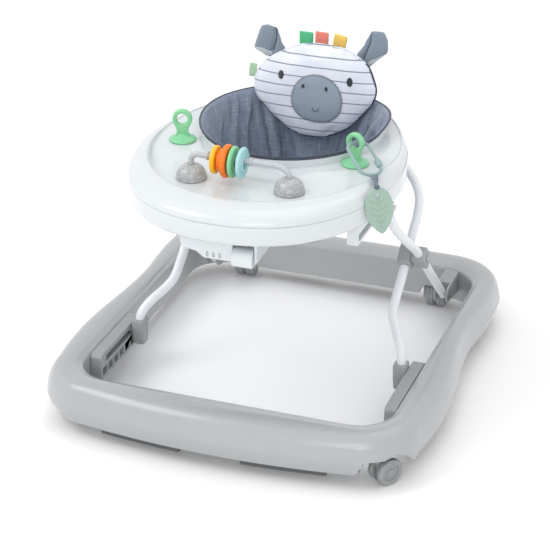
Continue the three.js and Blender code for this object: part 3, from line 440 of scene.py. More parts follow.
def tube(name, line, radius, material, sides=20, closed=False, flat=1.0):
    """A round or flattened bar along a line of points. Radius may change along the line."""
    line = np.array(line, float)
    count = len(line)
    radii = np.broadcast_to(np.array(radius, float), (count,))
    if closed:
        way = np.roll(line, -1, 0) - np.roll(line, 1, 0)
    else:
        way = np.gradient(line, axis=0)
    way /= np.linalg.norm(way, axis=1)[:, None]
    start = np.cross(way[0], [0, 0, 1.0])
    if np.linalg.norm(start) < 0.3:
        start = np.cross(way[0], [0, 1.0, 0])
    side = start / np.linalg.norm(start)
    sides_at = []
    for w in way:
        side = side - w * (side @ w)
        side /= np.linalg.norm(side)
        sides_at.append(side.copy())
    if closed:
        twist = math.atan2(np.cross(sides_at[-1], sides_at[0]) @ way[0], sides_at[-1] @ sides_at[0])
    rows = []
    for i in range(count):
        turn = twist * i / count if closed else 0.0
        up = np.cross(way[i], sides_at[i])
        angles = 2 * np.pi * np.arange(sides) / sides + turn
        rows.append(
            line[i]
            + radii[i] * np.outer(np.cos(angles), sides_at[i])
            + radii[i] * flat * np.outer(np.sin(angles), up)
        )
    if not closed:
        inset = [0.35, 0.8]
        bulge = 0.18
        first = [mix(line[0], rows[0], s) - way[0] * radii[0] * bulge * (1 - s) for s in inset]
        last = [mix(line[-1], rows[-1], s) + way[-1] * radii[-1] * bulge * (1 - s) for s in reversed(inset)]
        rows = first + rows + last
    return loft(name, rows, material, closed, sharp=50)


def lathe(name, profile, material, sides=48, axis="Z", at=(0, 0, 0), lobes=None, sharp=38):
    """A turned piece: profile points are [radius, place along the axis]. lobes(angle, radius) waves it."""
    rows = []
    for r, s in profile:
        r = max(r, 0.02)
        row = []
        for k in range(sides):
            a = 2 * math.pi * k / sides
            q = r * (lobes(a, r) if lobes else 1.0)
            p = (q * math.cos(a), q * math.sin(a), s)
            row.append(p if axis == "Z" else (p[2], p[0], p[1]))
        rows.append(row)
    closed = profile[0] == profile[-1]
    rows = np.array(rows[:-1] if closed else rows) + np.array(at, float)
    return loft(name, rows, material, closed, sharp=sharp)


def rounded(profile, radius=1.2, steps=3):
    """A profile with its corners rounded off."""
    out = [profile[0]]
    for before, corner, after in zip(profile, profile[1:], profile[2:]):
        b, c, a = (np.array(p, float) for p in (before, corner, after))
        back, ahead = b - c, a - c
        reach = min(radius, 0.45 * np.linalg.norm(back), 0.45 * np.linalg.norm(ahead))
        p = c + back / max(np.linalg.norm(back), 1e-9) * reach
        q = c + ahead / max(np.linalg.norm(ahead), 1e-9) * reach
        for t in np.linspace(0, 1, steps + 1):
            out.append(tuple(((1 - t) ** 2) * p + 2 * t * (1 - t) * c + t * t * q))
    return out + [profile[-1]]


def soften(obj, width, segments=3, angle=28):
    """Rounds an object's hard edges."""
    bevel = obj.modifiers.new("edges", "BEVEL")
    bevel.width, bevel.segments = width * MM, segments
    bevel.limit_method, bevel.angle_limit = "ANGLE", math.radians(angle)
    bevel.use_clamp_overlap = True
    for edge in obj.data.edges:
        edge.use_edge_sharp = False
    obj.modifiers.new("shading", "WEIGHTED_NORMAL")
    return obj


def settle(obj):
    """Applies an object's modifiers to its mesh."""
    shape = obj.evaluated_get(bpy.context.evaluated_depsgraph_get())
    mesh = bpy.data.meshes.new_from_object(shape)
    obj.modifiers.clear()
    obj.data = mesh
    return obj


def cut(obj, *tools):
    """Takes the tools out of an object, and removes them."""
    for tool in tools:
        modifier = obj.modifiers.new("cut", "BOOLEAN")
        modifier.operation, modifier.solver, modifier.object = "DIFFERENCE", "EXACT", tool
        settle(obj)
        bpy.data.objects.remove(tool)
    return obj


def merge(obj, *others):
    """Puts the meshes of other objects into the first one."""
    bm = bmesh.new()
    slots = list(obj.data.materials)
    for piece in (obj, *others):
        start = len(bm.faces)
        bm.from_mesh(piece.data)
        bm.faces.ensure_lookup_table()
        material = piece.data.materials[0]
        if material not in slots:
            slots.append(material)
        for face in bm.faces[start:]:
            face.material_index = slots.index(material)
    bm.to_mesh(obj.data)
    bm.free()
    obj.data.materials.clear()
    for material in slots:
        obj.data.materials.append(material)
    for piece in others:
        bpy.data.objects.remove(piece)
    return obj


def refined(node, name, material, width=1.0, slot=None):
    """A moulded version of a CAD node: the same shape with its edges rounded."""
    source = NODES[node].data
    bm = bmesh.new()
    for vertex in source.vertices:
        bm.verts.new(vertex.co)
    bm.verts.ensure_lookup_table()
    for polygon in source.polygons:
        try:
            bm.faces.new([bm.verts[i] for i in polygon.vertices])
        except ValueError:
            pass
    bmesh.ops.remove_doubles(bm, verts=bm.verts, dist=1e-6)
    bmesh.ops.dissolve_limit(bm, angle_limit=math.radians(1), verts=bm.verts, edges=bm.edges)
    mesh = bpy.data.meshes.new(name)
    bm.to_mesh(mesh)
    bm.free()
    obj = soften(dress(name, mesh, material), width)
    return stand_in(obj, NODES[node]["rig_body"], slot, node)


def stand_in(obj, body, slot, *nodes):
    """Ties a piece to its body and hides the CAD nodes it replaces. The slot is not used."""
    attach(obj, body)
    if nodes:
        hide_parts(*nodes)
    return obj


# ---- Camera, floor and light ------------------------------------------------------------------------
CAMERA = {"azimuth": 19.8486, "elevation": 26.5296, "distance": 3.31976, "lens": 132.42}
CAMERA_TARGET = Vector((-0.014545, 0.0, 0.169457))


def make_camera():
    data = bpy.data.cameras.new("camera")
    data.lens, data.sensor_width = CAMERA["lens"], 36
    data.clip_start, data.clip_end = 0.1, 50
    camera = bpy.data.objects.new("camera", data)
    bpy.context.scene.collection.objects.link(camera)
    a, e = math.radians(CAMERA["azimuth"]), math.radians(CAMERA["elevation"])
    back = Vector((math.sin(a) * math.cos(e), -math.cos(a) * math.cos(e), math.sin(e)))
    camera.location = CAMERA_TARGET + back * CAMERA["distance"]
    camera.rotation_mode = "QUATERNION"
    camera.rotation_quaternion = (-back).to_track_quat("-Z", "Y")
    bpy.context.scene.camera = camera


def area_light(name, place, target, size, power, colour=(1, 1, 1)):
    data = bpy.data.lights.new(name, "AREA")
    data.shape, data.size, data.energy, data.color = "DISK", size, power, colour
    light = bpy.data.objects.new(name, data)
    light.location = place
    light.rotation_mode = "QUATERNION"
    light.rotation_quaternion = (Vector(target) - Vector(place)).to_track_quat("-Z", "Y")
    bpy.context.scene.collection.objects.link(light)


def make_studio():
    f = Finish("studio_floor", 0.7)
    f.finish(f.blend(f.noise(f.place(), 2.0), (0.94, 0.94, 0.945, 1), (0.96, 0.96, 0.965, 1)))
    mesh = bpy.data.meshes.new("studio_floor")
    reach = 30
    corners = [(-reach, -reach, 0), (reach, -reach, 0), (reach, reach, 0), (-reach, reach, 0)]
    mesh.from_pydata(corners, [], [(0, 1, 2, 3)])
    mesh.materials.append(f.material)
    floor = bpy.data.objects.new("studio_floor", mesh)
    bpy.context.scene.collection.objects.link(floor)
    world = bpy.data.worlds.new("studio")
    world.use_nodes = True
    world.node_tree.nodes["Background"].inputs["Color"].default_value = (1, 1, 1, 1)
    world.node_tree.nodes["Background"].inputs["Strength"].default_value = 0.98
    bpy.context.scene.world = world
    bpy.context.scene.view_settings.view_transform = "Standard"
    area_light("key", (-1.7, -1.1, 2.5), (0, 0, 0.2), 1.6, 22)
    area_light("front", (0.9, -3.2, 1.7), (0, 0, 0.3), 2.0, 22)
    area_light("top", (0.3, 0.9, 2.8), (0, 0, 0.2), 2.2, 9)


make_camera()
make_studio()


# ---- Base ring --------------------------------------------------------------------------------------
BASE_BOTTOM = 26
INNER = {"half_x": 258, "front": -274, "rear": 291, "radius": 60}
FRONT_CORNER = {"x": 212, "y": -238, "radius": 95, "start": math.radians(81)}
REAR_CORNER = {"x": 206, "y": 250, "radius": 100}
CASTER = {"wheel": 22, "trail": 10, "heading": 35}
REAR_WHEEL = {"x": 180, "y": 310, "radius": 22}


def outer_half_x(y):
    swell, span = (10, 222) if y < 92 else (3.5, 115)
    return 299 + swell * (1 - math.cos(math.pi * (y - 92) / span))


def half_outline(corner_steps, side_steps, end_steps):
    """Matching inner and outer plan points of the +X half, from the middle front to the middle rear."""
    fc, rc = FRONT_CORNER, REAR_CORNER
    inner_x = INNER["half_x"] - INNER["radius"]
    bow = (fc["x"] + fc["radius"] * math.cos(fc["start"]), fc["y"] - fc["radius"] * math.sin(fc["start"]))
    points = []
    for i in range(end_steps):
        t = i / end_steps
        points.append(((inner_x * t, INNER["front"]), (bow[0] * t, -351 + (bow[1] + 351) * t * t)))
    for corner, sign in ((fc, -1), (rc, 1)):
        centre_x = outer_half_x(corner["y"]) - corner["radius"]
        inner_y = INNER["front"] + INNER["radius"] if sign < 0 else INNER["rear"] - INNER["radius"]
        for i in range(corner_steps + 1):
            t = 1 - i / corner_steps if sign < 0 else i / corner_steps
            a = sign * t * (corner["start"] if sign < 0 else math.pi / 2)
            b = sign * t * math.pi / 2
            inner = (inner_x + INNER["radius"] * math.cos(b), inner_y + INNER["radius"] * math.sin(b))
            outer = (centre_x + corner["radius"] * math.cos(a), corner["y"] + corner["radius"] * math.sin(a))
            points.append((inner, outer))
        if sign < 0:
            for i in range(1, side_steps):
                t = i / side_steps
                y = mix(fc["y"], rc["y"], t)
                inner = (INNER["half_x"], mix(inner_y, INNER["rear"] - INNER["radius"], t))
                points.append((inner, (outer_half_x(y), y)))
    last = points[-1][1][0]
    for i in range(1, end_steps + 1):
        t = i / end_steps
        points.append(((inner_x * (1 - t), INNER["rear"]), (last * (1 - t), 351)))
    return points


# How far the skirt is lifted over the right-hand castor, against the angle round that corner.
ARCH = {"angles": (10, 15, 20, 26, 37, 48, 60, 70, 80), "lifts": (0, 3.5, 11, 21.5, 31, 32, 26, 12, 0)}
CASTERS = {"right": (259, -291), "left": (-249, -275)}


def arch(x, y):
    """How far the skirt's lower edge is lifted over the castors and the rear wheels."""
    lift = 0.0
    if x > 224 and y < -238:
        angle = math.degrees(math.atan2(x - 224, -238 - y))
        lift = float(np.interp(angle, ARCH["angles"], ARCH["lifts"]))
    for cx, cy in CASTERS.values():
        lift = max(lift, 28 * smooth((42 - math.hypot(x - cx, y - cy)) / 4))
    if 280 < y < 338:
        lift = max(lift, 17 * smooth((26 - abs(abs(x) - REAR_WHEEL["x"])) / 3))
    return lift


def base_rows():
    half = half_outline(30, 44, 26)
    mirrored = [((-i[0], i[1]), (-o[0], o[1])) for i, o in reversed(half[1:-1])]
    rows = []
    for inner, outer in half + mirrored:
        w = math.hypot(outer[0] - inner[0], outer[1] - inner[1])
        outside = [(0, 26), (0, 77), (0.8, 81), (3, 83.6), (7, 84.6)]
        crown = [
            (7, 84.6), (0.2 * w, 88.2), (0.45 * w, 91.8), (0.62 * w, 91.2), (0.76 * w, 87.6), (w - 5, 74),
            (w, 51),
        ]
        outside += [tuple(p) for p in resample(crown, 22)[1:]] + [(w - 2.6, 40), (w - 6.5, 30), (w - 8, 26)]
        inside = [
            (w - 11.5, 26), (w - 3.5, 50), (w - 8.5, 70), (0.76 * w, 82.4), (0.4 * w, 88), (3.5, 77),
            (3.5, 26),
        ]
        row = []
        for offset, z in outside + inside:
            x, y = (mix(inner[k], outer[k], offset / w) for k in (0, 1))
            low = BASE_BOTTOM + arch(x, y)
            row.append((x, y, max(z, min(low, low + 0.04 * (z - BASE_BOTTOM)))))
        rows.append(row)
    return rows


base = loft("base_ring", base_rows(), "shell", ring=True, sharp=50)
stand_in(base, "base", "shell_grey", "base_shell")


def ribbed_pad(line, width=16):
    """A rubber strip with cross ribs along plan points."""
    line = resample(line, 3 * int(len(line) * 8) + 1)
    way = np.gradient(line, axis=0)
    way /= np.linalg.norm(way, axis=1)[:, None]
    rows = []
    for i, (p, w) in enumerate(zip(line, way)):
        low = 16.0 if i % 3 else 17.4
        side = np.array([w[1], -w[0]]) * width / 2
        rows.append([
            (*(p + side), 25.7), (*(p + side), low + 2), (*(p + side * 0.85), low),
            (*(p - side * 0.85), low), (*(p - side), low + 2), (*(p - side), 25.7),
        ])
    return rows


PAD_LINES = {
    "front": [(x, -331 + 17 * (x / 212) ** 2) for x in (50, 83, 117, 150, 184)],
    "side": [(outer_half_x(y) - 20, y) for y in (10, 52, 94, 136, 178)],
    "rear": [(x, 331) for x in (20, 70, 120)],
}
for place, line in PAD_LINES.items():
    for side, m in SIDES:
        name = f"grip_pad_{place}_{side}"
        pad = loft(f"{name}_rubber", ribbed_pad([(m * x, y) for x, y in line]), "rubber", sharp=30)
        stand_in(pad, "base", "grip_rubber", name)

BASE_FITTINGS = (
    ("slide_rail", "foot_rail", 1.4), ("pivot_bracket", "pivot_clevis", 1.2),
    ("caster_socket", "caster_cup", 0.8), ("rear_wheel_housing", "rear_wheel_box", 1.4),
)
for side, _ in SIDES:
    for node, name, width in BASE_FITTINGS:
        refined(f"{node}_{side}", f"{name}_{side}", "trim", width, "trim_grey")


def headed_pin(name, x0, x1, y, z, radius, head):
    profile = [
        (0, x0 - 2.5), (0.5 * head, x0 - 2.4), (0.82 * head, x0 - 1.9), (head, x0 - 0.8), (head, x0),
        (radius, x0), (radius, x1), (head, x1), (head, x1 + 0.8), (0.82 * head, x1 + 1.9),
        (0.5 * head, x1 + 2.4), (0, x1 + 2.5),
    ]
    return lathe(name, profile, "steel", 32, "X", (0, y, z))


for side, m in SIDES:
    span = sorted((m * 198.2, m * 223.8))
    pin = headed_pin(f"rear_pin_{side}", *span, 224, 68, 4, 7)
    stand_in(pin, "base", "steel", f"rear_pivot_pin_{side}")

# ---- Wheels -----------------------------------------------------------------------------------------
for side, m in SIDES:
    turn = Matrix.Rotation(math.radians(-CASTER["heading"]), 4, "Z")
    put = Matrix.Translation(Vector((*CASTERS[side], 0)) * MM) @ turn
    tyre = [
        (3.5, 4.6), (12, 4.6), (12.5, 5.2), (19.4, 5.2), (21, 6), (22, 8), (22, 9.6), (21.6, 10), (22, 10.4),
        (22, 13), (21.2, 15), (19.4, 16), (15, 16), (14, 15.4), (13.2, 13.6), (6, 13.2), (5, 14.6), (0, 14.8),
    ]
    axle = (0, CASTER["trail"], CASTER["wheel"])
    wheels = lathe(f"caster_tyres_{side}", mirrored(tyre), "wheel", 56, "X", axle, sharp=30)
    wheels.data.transform(put)
    stand_in(wheels, f"caster_wheels_{side}", "wheel_grey", f"caster_wheels_{side}")
    stem = [
        (0, 45.5), (12.6, 45.5), (14, 46.6), (14, 49), (13, 50), (6.5, 50.4), (5, 51.4), (5, 71), (4, 72),
        (0, 72),
    ]
    plate = lathe(f"caster_swivel_{side}", stem, "trim", 40)
    web = [(-10, 46), (8, 46), (22, 28), (23, 24), (22, 17), (17, 11), (10, 9), (3, 11), (-2, 17), (-3, 24)]
    web = resample(web, 60, True)
    cheek = loft("cheek", [[(x, y, z) for y, z in web] for x in (-4, -3.2, 3.2, 4)], "trim")
    fork = merge(plate, cheek)
    fork.data.transform(put)
    stand_in(fork, f"caster_{side}", "trim_grey", f"caster_fork_{side}")
    half = [
        (18, 1.4), (20.6, 3), (22, 4.6), (22, 9.4), (21.5, 9.8), (22, 10.2), (22, 14.2), (21, 16.2), (19, 17),
        (14, 17), (13, 16.2), (5, 16), (4.4, 17), (3.5, 17.4), (3.5, 21), (0, 21),
    ]
    axle = (m * REAR_WHEEL["x"], REAR_WHEEL["y"], REAR_WHEEL["radius"])
    roll = lathe(f"rear_roller_{side}", mirrored(half, [(18, 0)]), "wheel", 56, "X", axle, sharp=30)
    stand_in(roll, f"rear_wheel_{side}", "wheel_grey", f"rear_wheel_{side}")

# ---- Legs -------------------------------------------------------------------------------------------
INNER_LEG = [
    (226, -75, 56), (226, -74, 80), (225, -70, 96), (216, -54, 111), (200, -26, 126), (191, -10, 138),
    (189, 12, 155), (189, 47, 183), (189, 73, 206), (189, 97, 232), (190, 122, 258), (188, 137, 282),
    (178, 150, 299), (161, 164, 313), (128, 184, 333), (96, 194, 343), (76, 195, 345), (60, 195, 345),
]
inner_line = INNER_LEG + [(-x, y, z) for x, y, z in reversed(INNER_LEG)]
inner = tube("inner_leg_tube", resample(inner_line, 300), 7.5, "tube", 32)
stand_in(inner, "inner_legs", "white_tube", "inner_leg_frame")
OUTER_LEG = [
    (211, 229, 63.4), (211, 224, 68), (211, 133, 151), (211, 73, 206), (211, 43, 232), (209, 2, 264),
    (202, -26, 291), (196, -42, 314), (192.5, -49, 336), (192.5, -50, 354),
]
for side, m in SIDES:
    line = resample([(m * x, y, z) for x, y, z in OUTER_LEG], 120)
    leg = tube(f"outer_leg_tube_{side}", line, 7.5, "tube", 32)
    stand_in(leg, "outer_legs", "white_tube", f"outer_leg_{side}")
    pin_profile = rounded([(0, 169), (5, 169), (5, 202.5), (0, 202.5)], 0.8)
    pin = lathe(f"slide_pin_{side}", [(r, m * x) for r, x in pin_profile], "white", 32, "X", (0, -49, 345))
    stand_in(pin, "outer_legs", "white_shell", f"tray_slide_pin_{side}")


def collar(name, x0, x1, slope, m):
    """A clamp round a leg at the crossing: a rounded block with a raised face."""
    turn = math.radians(slope)
    rows = []
    stages = [(0, -1.6), (0.7, -0.5), (1.8, 0)]
    steps = [(x0 + d, grow) for d, grow in stages] + [(x1 - d, grow) for d, grow in reversed(stages)]
    for x, grow in steps:
        corner = 7
        reach, rise = 20 + grow - corner, 14 + grow - corner
        outline = []
        for quarter, (right, up) in enumerate(((1, 1), (-1, 1), (-1, -1), (1, -1))):
            for a in np.radians(np.linspace(90 * quarter, 90 * quarter + 90, 9)):
                outline.append((right * reach + corner * math.cos(a), up * rise + corner * math.sin(a)))
        row = []
        for a, b in outline:
            y = a * math.cos(turn) - b * math.sin(turn)
            z = a * math.sin(turn) + b * math.cos(turn)
            row.append((m * x, 73 + y, 206 + z))
        rows.append(row)
    return loft(name, rows, "trim", sharp=40)


for side, m in SIDES:
    block = collar(f"inner_clamp_{side}", 177, 199.8, 45, m)
    stand_in(block, "inner_legs", "trim_grey", f"cross_collar_inner_{side}")
    block = collar(f"outer_clamp_{side}", 200.2, 223, -41.6, m)
    stand_in(block, "outer_legs", "trim_grey", f"cross_collar_outer_{side}")
    span = sorted((m * 176.7, m * 223.3))
    rivet = headed_pin(f"clamp_rivet_{side}", *span, 73, 206, 3.5, 7)
    stand_in(rivet, NODES[f"cross_rivet_{side}"]["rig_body"], "steel", f"cross_rivet_{side}")
    levels = [
        (88, 9.4, 11.4), (88, 10.4, 12.4), (87, 11, 13), (66, 11, 12.6), (47, 10, 10.2), (45, 9, 9.2),
        (44, 7.6, 7.8), (44, 5, 5),
    ]
    rows = []
    for z, hx, hy in levels:
        rows.append([
            (m * 226 + hx * bowed(math.cos(a), 0.28), -75 + hy * bowed(math.sin(a), 0.28), z)
            for a in turns(48)
        ])
    foot = loft(f"leg_foot_{side}", rows, "trim", sharp=45)
    pin_profile = [(0, 234), (5, 234), (5, 249.5), (4.2, 250.5), (0, 250.5)]
    pin = lathe("pin", [(r, m * x) for r, x in pin_profile], "trim", 24, "X", (0, -78, 68))
    stand_in(merge(foot, pin), "inner_legs", "trim_grey", f"slide_foot_{side}")

# ---- Tray -------------------------------------------------------------------------------------------
TRAY = {"half_x": 210, "centre_y": -52, "front": (262, 2.25), "rear": (280, 1.76)}
OPENING = {"half_x": 146, "centre_y": 46, "half_y": 158}


def station(angle):
    """Where the tray's opening and outline stand at an angle round it."""
    c, s = math.cos(angle), math.sin(angle)
    reach, power = TRAY["rear"] if s > 0 else TRAY["front"]
    inner = (OPENING["half_x"] * c, OPENING["centre_y"] + OPENING["half_y"] * s)
    outer = (
        TRAY["half_x"] * bowed(c, 2 / power),
        TRAY["centre_y"] + reach * bowed(s, 2 / power),
    )
    return inner, outer, math.hypot(outer[0] - inner[0], outer[1] - inner[1])


def tray_ring(section, count=220):
    rows = []
    for i in range(count):
        inner, outer, w = station(2 * math.pi * (i + 0.5) / count)
        rows.append([
            (mix(inner[0], outer[0], o / w), mix(inner[1], outer[1], o / w), z)
            for o, z in section(w, lambda share: mix(inner[1], outer[1], share))
        ])
    return rows


def deck_floor(y):
    """The sunk play area in front rises to the shelf beside the seat."""
    return mix(408, 414, smooth((y + 135) / 40))


def deck_section(w, y_at):
    wide = smooth((w - 100) / 60)
    crown = mix(416, 422, wide)
    lip = min(0.065 * w, 3.5)
    points = [
        (0, 401.4), (0, 420.5), (0.08 * lip, 423), (0.28 * lip, 424.8), (0.5 * lip, 424.6),
        (0.68 * lip, 422.5), (0.86 * lip, deck_floor(y_at(0.03)) + 3), (lip, deck_floor(y_at(0.04)) + 0.6),
    ]
    for share in np.linspace(0.1, 0.67, 14):
        points.append((share * w, deck_floor(y_at(share))))
    low = deck_floor(y_at(0.69))
    rise = crown - low
    points += [
        (0.69 * w, low + 0.03 * rise), (0.702 * w, low + 0.16 * rise), (0.714 * w, low + 0.42 * rise),
        (0.724 * w, low + 0.7 * rise), (0.733 * w, low + 0.9 * rise), (0.742 * w, low + 0.985 * rise),
        (0.755 * w, crown), (0.8 * w, crown - 0.1), (0.86 * w, crown - 0.9), (0.91 * w, crown - 2.8),
        (0.95 * w, crown - 6), (0.975 * w, crown - 9.6), (w - 1.2, crown - 12.6), (w, 405), (w, 402.2),
        (w - 0.8, 401.4), (w - 3, 401.4), (0.94 * w - 3, crown - 9), (0.77 * w, crown - 4),
        (0.71 * w, low - 3),
        (0.4 * w, deck_floor(y_at(0.4)) - 3), (0.1 * w, deck_floor(y_at(0.1)) - 3), (3, 401.4),
    ]
    return points


def pan_section(w, _):
    return [
        (0.6, 401), (0, 400), (0, 370.5), (0.5, 370), (w - 6.5, 370), (w - 4.4, 370.5), (w - 2.8, 371.8),
        (w - 1.7, 374), (w - 0.2, 398), (w - 0.2, 400), (w - 1, 401), (w - 3, 401), (w - 5, 374), (3, 373),
        (3, 401),
    ]


deck = loft("tray_top_shell", tray_ring(deck_section), "white", ring=True, sharp=50)
stand_in(deck, "tray", "white_shell", "tray_deck")
pan = loft("tray_lower_shell", tray_ring(pan_section), "white", ring=True, sharp=50)
stand_in(pan, "tray", "white_shell", "tray_pan")
for side, _ in SIDES:
    refined(f"tray_channel_{side}", f"leg_channel_{side}", "white", 1.2, "white_shell")
    refined(f"tray_saddle_{side}", f"tube_saddle_{side}", "white", 1.2, "white_shell")
refined("adjuster_housing", "height_adjuster", "white", 1.8, "white_shell")
refined("adjuster_lever", "height_lever", "white", 2.0, "white_shell")


# ---- Seat -------------------------------------------------------------------------------------------
# Levels of the fabric bucket: height, half width, front and rear.
BUCKET = [
    (428.5, 146.5, -112, 204), (425, 143, -108, 200), (418, 142.5, -106.5, 197), (400, 141.5, -103, 192),
    (370, 138, -101, 178), (338, 130, -87, 171), (300, 117, -67, 159), (266, 97, -39, 141),
    (247, 78, -16, 122), (235, 60, 4, 105), (227, 40, 24, 85), (224, 20, 42, 68), (223.4, 6, 50, 60),
]
LEG_HOLE = {"x": 58, "y": -44, "z": 268, "radius": 34, "tilt": math.radians(34)}
# Deep creases of the bucket: angle round the rim, slant per millimetre down, width and depth.
SEAT_CREASES = (
    (0.42, 0.006, 0.07, 20), (0.8, 0.002, 0.06, 13), (2.05, -0.003, 0.06, 14), (2.25, -0.001, 0.05, 18),
    (2.45, 0.002, 0.05, 15), (2.62, 0.003, 0.04, 16), (2.8, 0.005, 0.06, 12), (3.3, 0.004, 0.07, 10),
    (3.9, -0.002, 0.1, 8),
)
# Rolls of slack cloth along the rim: angle of the middle, half width, millimetres below the rim and depth.
RIM_ROLLS = ((3.55, 0.6, 17, 6.5), (-0.25, 0.5, 15, 5), (0.35, 0.3, 26, 7))


def puff(angle):
    """How far the padded wings beside the headrest swell out, by the angle round the rim."""
    right = math.exp(-(wrapped(angle - 0.3) / 0.42) ** 2)
    left = math.exp(-(wrapped(angle - 3.0) / 0.5) ** 2)
    return right + 0.3 * left


def bucket_point(level, angle):
    """A point of the bucket, with the slack fabric's folds."""
    z, half_x, front, rear = level
    below = 428.5 - z
    depth, lower = smooth(below / 30), smooth((z - 225) / 60)
    folds = 3.4 * math.sin(5 * angle + 0.6 + below * 0.02) + 2.2 * math.sin(11 * angle + 2.1 - below * 0.03)
    for middle, slant, wide, deep in SEAT_CREASES:
        folds -= deep * math.exp(-((wrapped(angle - middle - slant * below) / wide) ** 2))
    for middle, half, low, deep in RIM_ROLLS:
        along = math.exp(-((wrapped(angle - middle) / half) ** 4))
        folds -= deep * along * math.exp(-(((below - low) / 4.5) ** 2)) / max(depth, 0.3)
    swell = puff(angle) * smooth((z - 385) / 40)
    grow = (folds - 5) * depth * lower * 0.8 + 7 * swell
    return (
        (half_x + grow) * math.cos(angle),
        (front + rear) / 2 + ((rear - front) / 2 + grow) * math.sin(angle),
        z + 8 * swell,
    )


def points_of(obj):
    flat = np.empty(len(obj.data.vertices) * 3)
    obj.data.vertices.foreach_get("co", flat)
    return flat.reshape(-1, 3)


def simulate(obj, cap, frames, gravity, **settings):
    """Runs a cloth simulation and keeps its result, with no point further than the cap from its start."""
    start = points_of(obj)
    cloth = obj.modifiers.new("cloth", "CLOTH").settings
    for key, value in settings.items():
        setattr(cloth, key, value)
    cloth.effector_weights.gravity = gravity
    for number in range(1, frames + 1):
        bpy.context.scene.frame_set(number)
    settle(obj)
    bpy.context.scene.frame_set(1)
    move = points_of(obj) - start
    share = np.minimum(1.0, cap * MM / np.maximum(np.linalg.norm(move, axis=1), 1e-9))
    obj.data.vertices.foreach_set("co", (start + move * share[:, None]).ravel())
    obj.data.update()


def subdivided(obj):
    """Applies an object's modifiers and one subdivision, and shades it smooth."""
    smoother = obj.modifiers.new("round", "SUBSURF")
    smoother.levels = smoother.render_levels = 1
    settle(obj)
    for polygon in obj.data.polygons:
        polygon.use_smooth = True
    return obj


def seat_sheet(around=180):
    """The seat as one open sheet, hung from its rim by a cloth simulation and then given its thickness."""
    levels = resample(BUCKET, 46)
    rows = [[bucket_point(level, 2 * math.pi * k / around) for k in range(around)] for level in levels]
    sheet = loft("seat_fabric", rows, "seat", uv=True, sharp=70)
    bm = bmesh.new()
    bm.from_mesh(sheet.data)
    top = max(bm.verts, key=lambda v: len(v.link_edges) * 1000 + v.co.z)
    bmesh.ops.delete(bm, geom=[top], context="VERTS")
    bm.to_mesh(sheet.data)
    bm.free()
    pin = sheet.vertex_groups.new(name="rim")
    pin.add([v.index for v in sheet.data.vertices if v.co.z > 421 * MM], 1.0, "REPLACE")
    simulate(sheet, 6.0, 18, 0.4, vertex_group_mass="rim", quality=5, mass=0.2, shrink_min=-0.03)
    thick = sheet.modifiers.new("thick", "SOLIDIFY")
    thick.thickness, thick.offset = 2.4 * MM, -1
    return subdivided(sheet)


seat = seat_sheet()
seat_skin = BVHTree.FromObject(seat, bpy.context.evaluated_depsgraph_get())
tilt = Matrix.Rotation(LEG_HOLE["tilt"], 3, "X")
hole_edges = []
drills = []
drill_reach = 40
for side, m in SIDES:
    centre = Vector((m * LEG_HOLE["x"], LEG_HOLE["y"], LEG_HOLE["z"]))
    out = tilt @ Vector((0, -1, 0))
    rim = []
    for a in turns(72):
        spot = centre + tilt @ Vector((math.cos(a), 0, math.sin(a))) * LEG_HOLE["radius"]
        hit = seat_skin.ray_cast((spot + out * 60) * MM, -out, 120 * MM)[0]
        if hit:
            rim.append(tuple(hit / MM))
    hole_edges.append((side, rim))
    half = [(LEG_HOLE["radius"], drill_reach), (0, drill_reach)]
    drill = lathe("drill", mirrored(half), "seat", 64)
    turn = Matrix.Rotation(math.pi / 2 + LEG_HOLE["tilt"], 4, "X")
    drill.data.transform(Matrix.Translation(centre * MM) @ turn)
    drills.append(drill)
cut(seat, *drills)


def inflate(obj, pressure, cap, voxel):
    """Blows a closed fabric form up with a cloth simulation, and smooths it."""
    bpy.context.view_layer.objects.active = obj
    remesh = obj.modifiers.new("skin", "REMESH")
    remesh.mode, remesh.voxel_size = "VOXEL", voxel * MM
    settle(obj)
    simulate(obj, cap, 20, 0, use_pressure=True, uniform_pressure_force=pressure, quality=6)
    calm = obj.modifiers.new("calm", "SMOOTH")
    calm.factor, calm.iterations = 0.5, 5
    return subdivided(obj)


def sheet_uv(obj):
    """Lays the cloth's own coordinates flat over a padded piece."""
    layer = obj.data.uv_layers.get("weave") or obj.data.uv_layers.new(name="weave")
    plan = points_of(obj)[:, [0, 2]]
    corners = np.empty(len(obj.data.loops), np.int32)
    obj.data.loops.foreach_get("vertex_index", corners)
    layer.data.foreach_set("uv", plan[corners].astype(np.float32).ravel())


def pillow(name, outline, depth, material, back=1.0):
    """A closed pad from a plan outline in its own X-Z plane, thickest in the middle, with -Y in front."""
    centre = np.array(outline, float).mean(0)
    rings, edge = 9, 0.05
    shares = [math.sin(math.pi / 2 * (i + 1) / rings) for i in range(rings)]
    rows = []
    for sign, fill in ((-1, 1.0), (1, back)):
        side = []
        for share in shares:
            lift = depth * max(edge, (1 - share**2.4) ** 0.62) * fill
            side.append([(p[0], sign * lift, p[1]) for p in drawn_in(outline, centre, share)])
        rows += side if sign < 0 else side[::-1]
    return loft(name, rows, material, uv=True, sharp=80)


LEAN = Matrix.Rotation(-HEAD["lean"], 4, "X")


def lean_back(obj, y=HEAD["y"], z=HEAD["z"]):
    obj.data.transform(Matrix.Translation(Vector((0, y, z)) * MM) @ LEAN)
    return obj


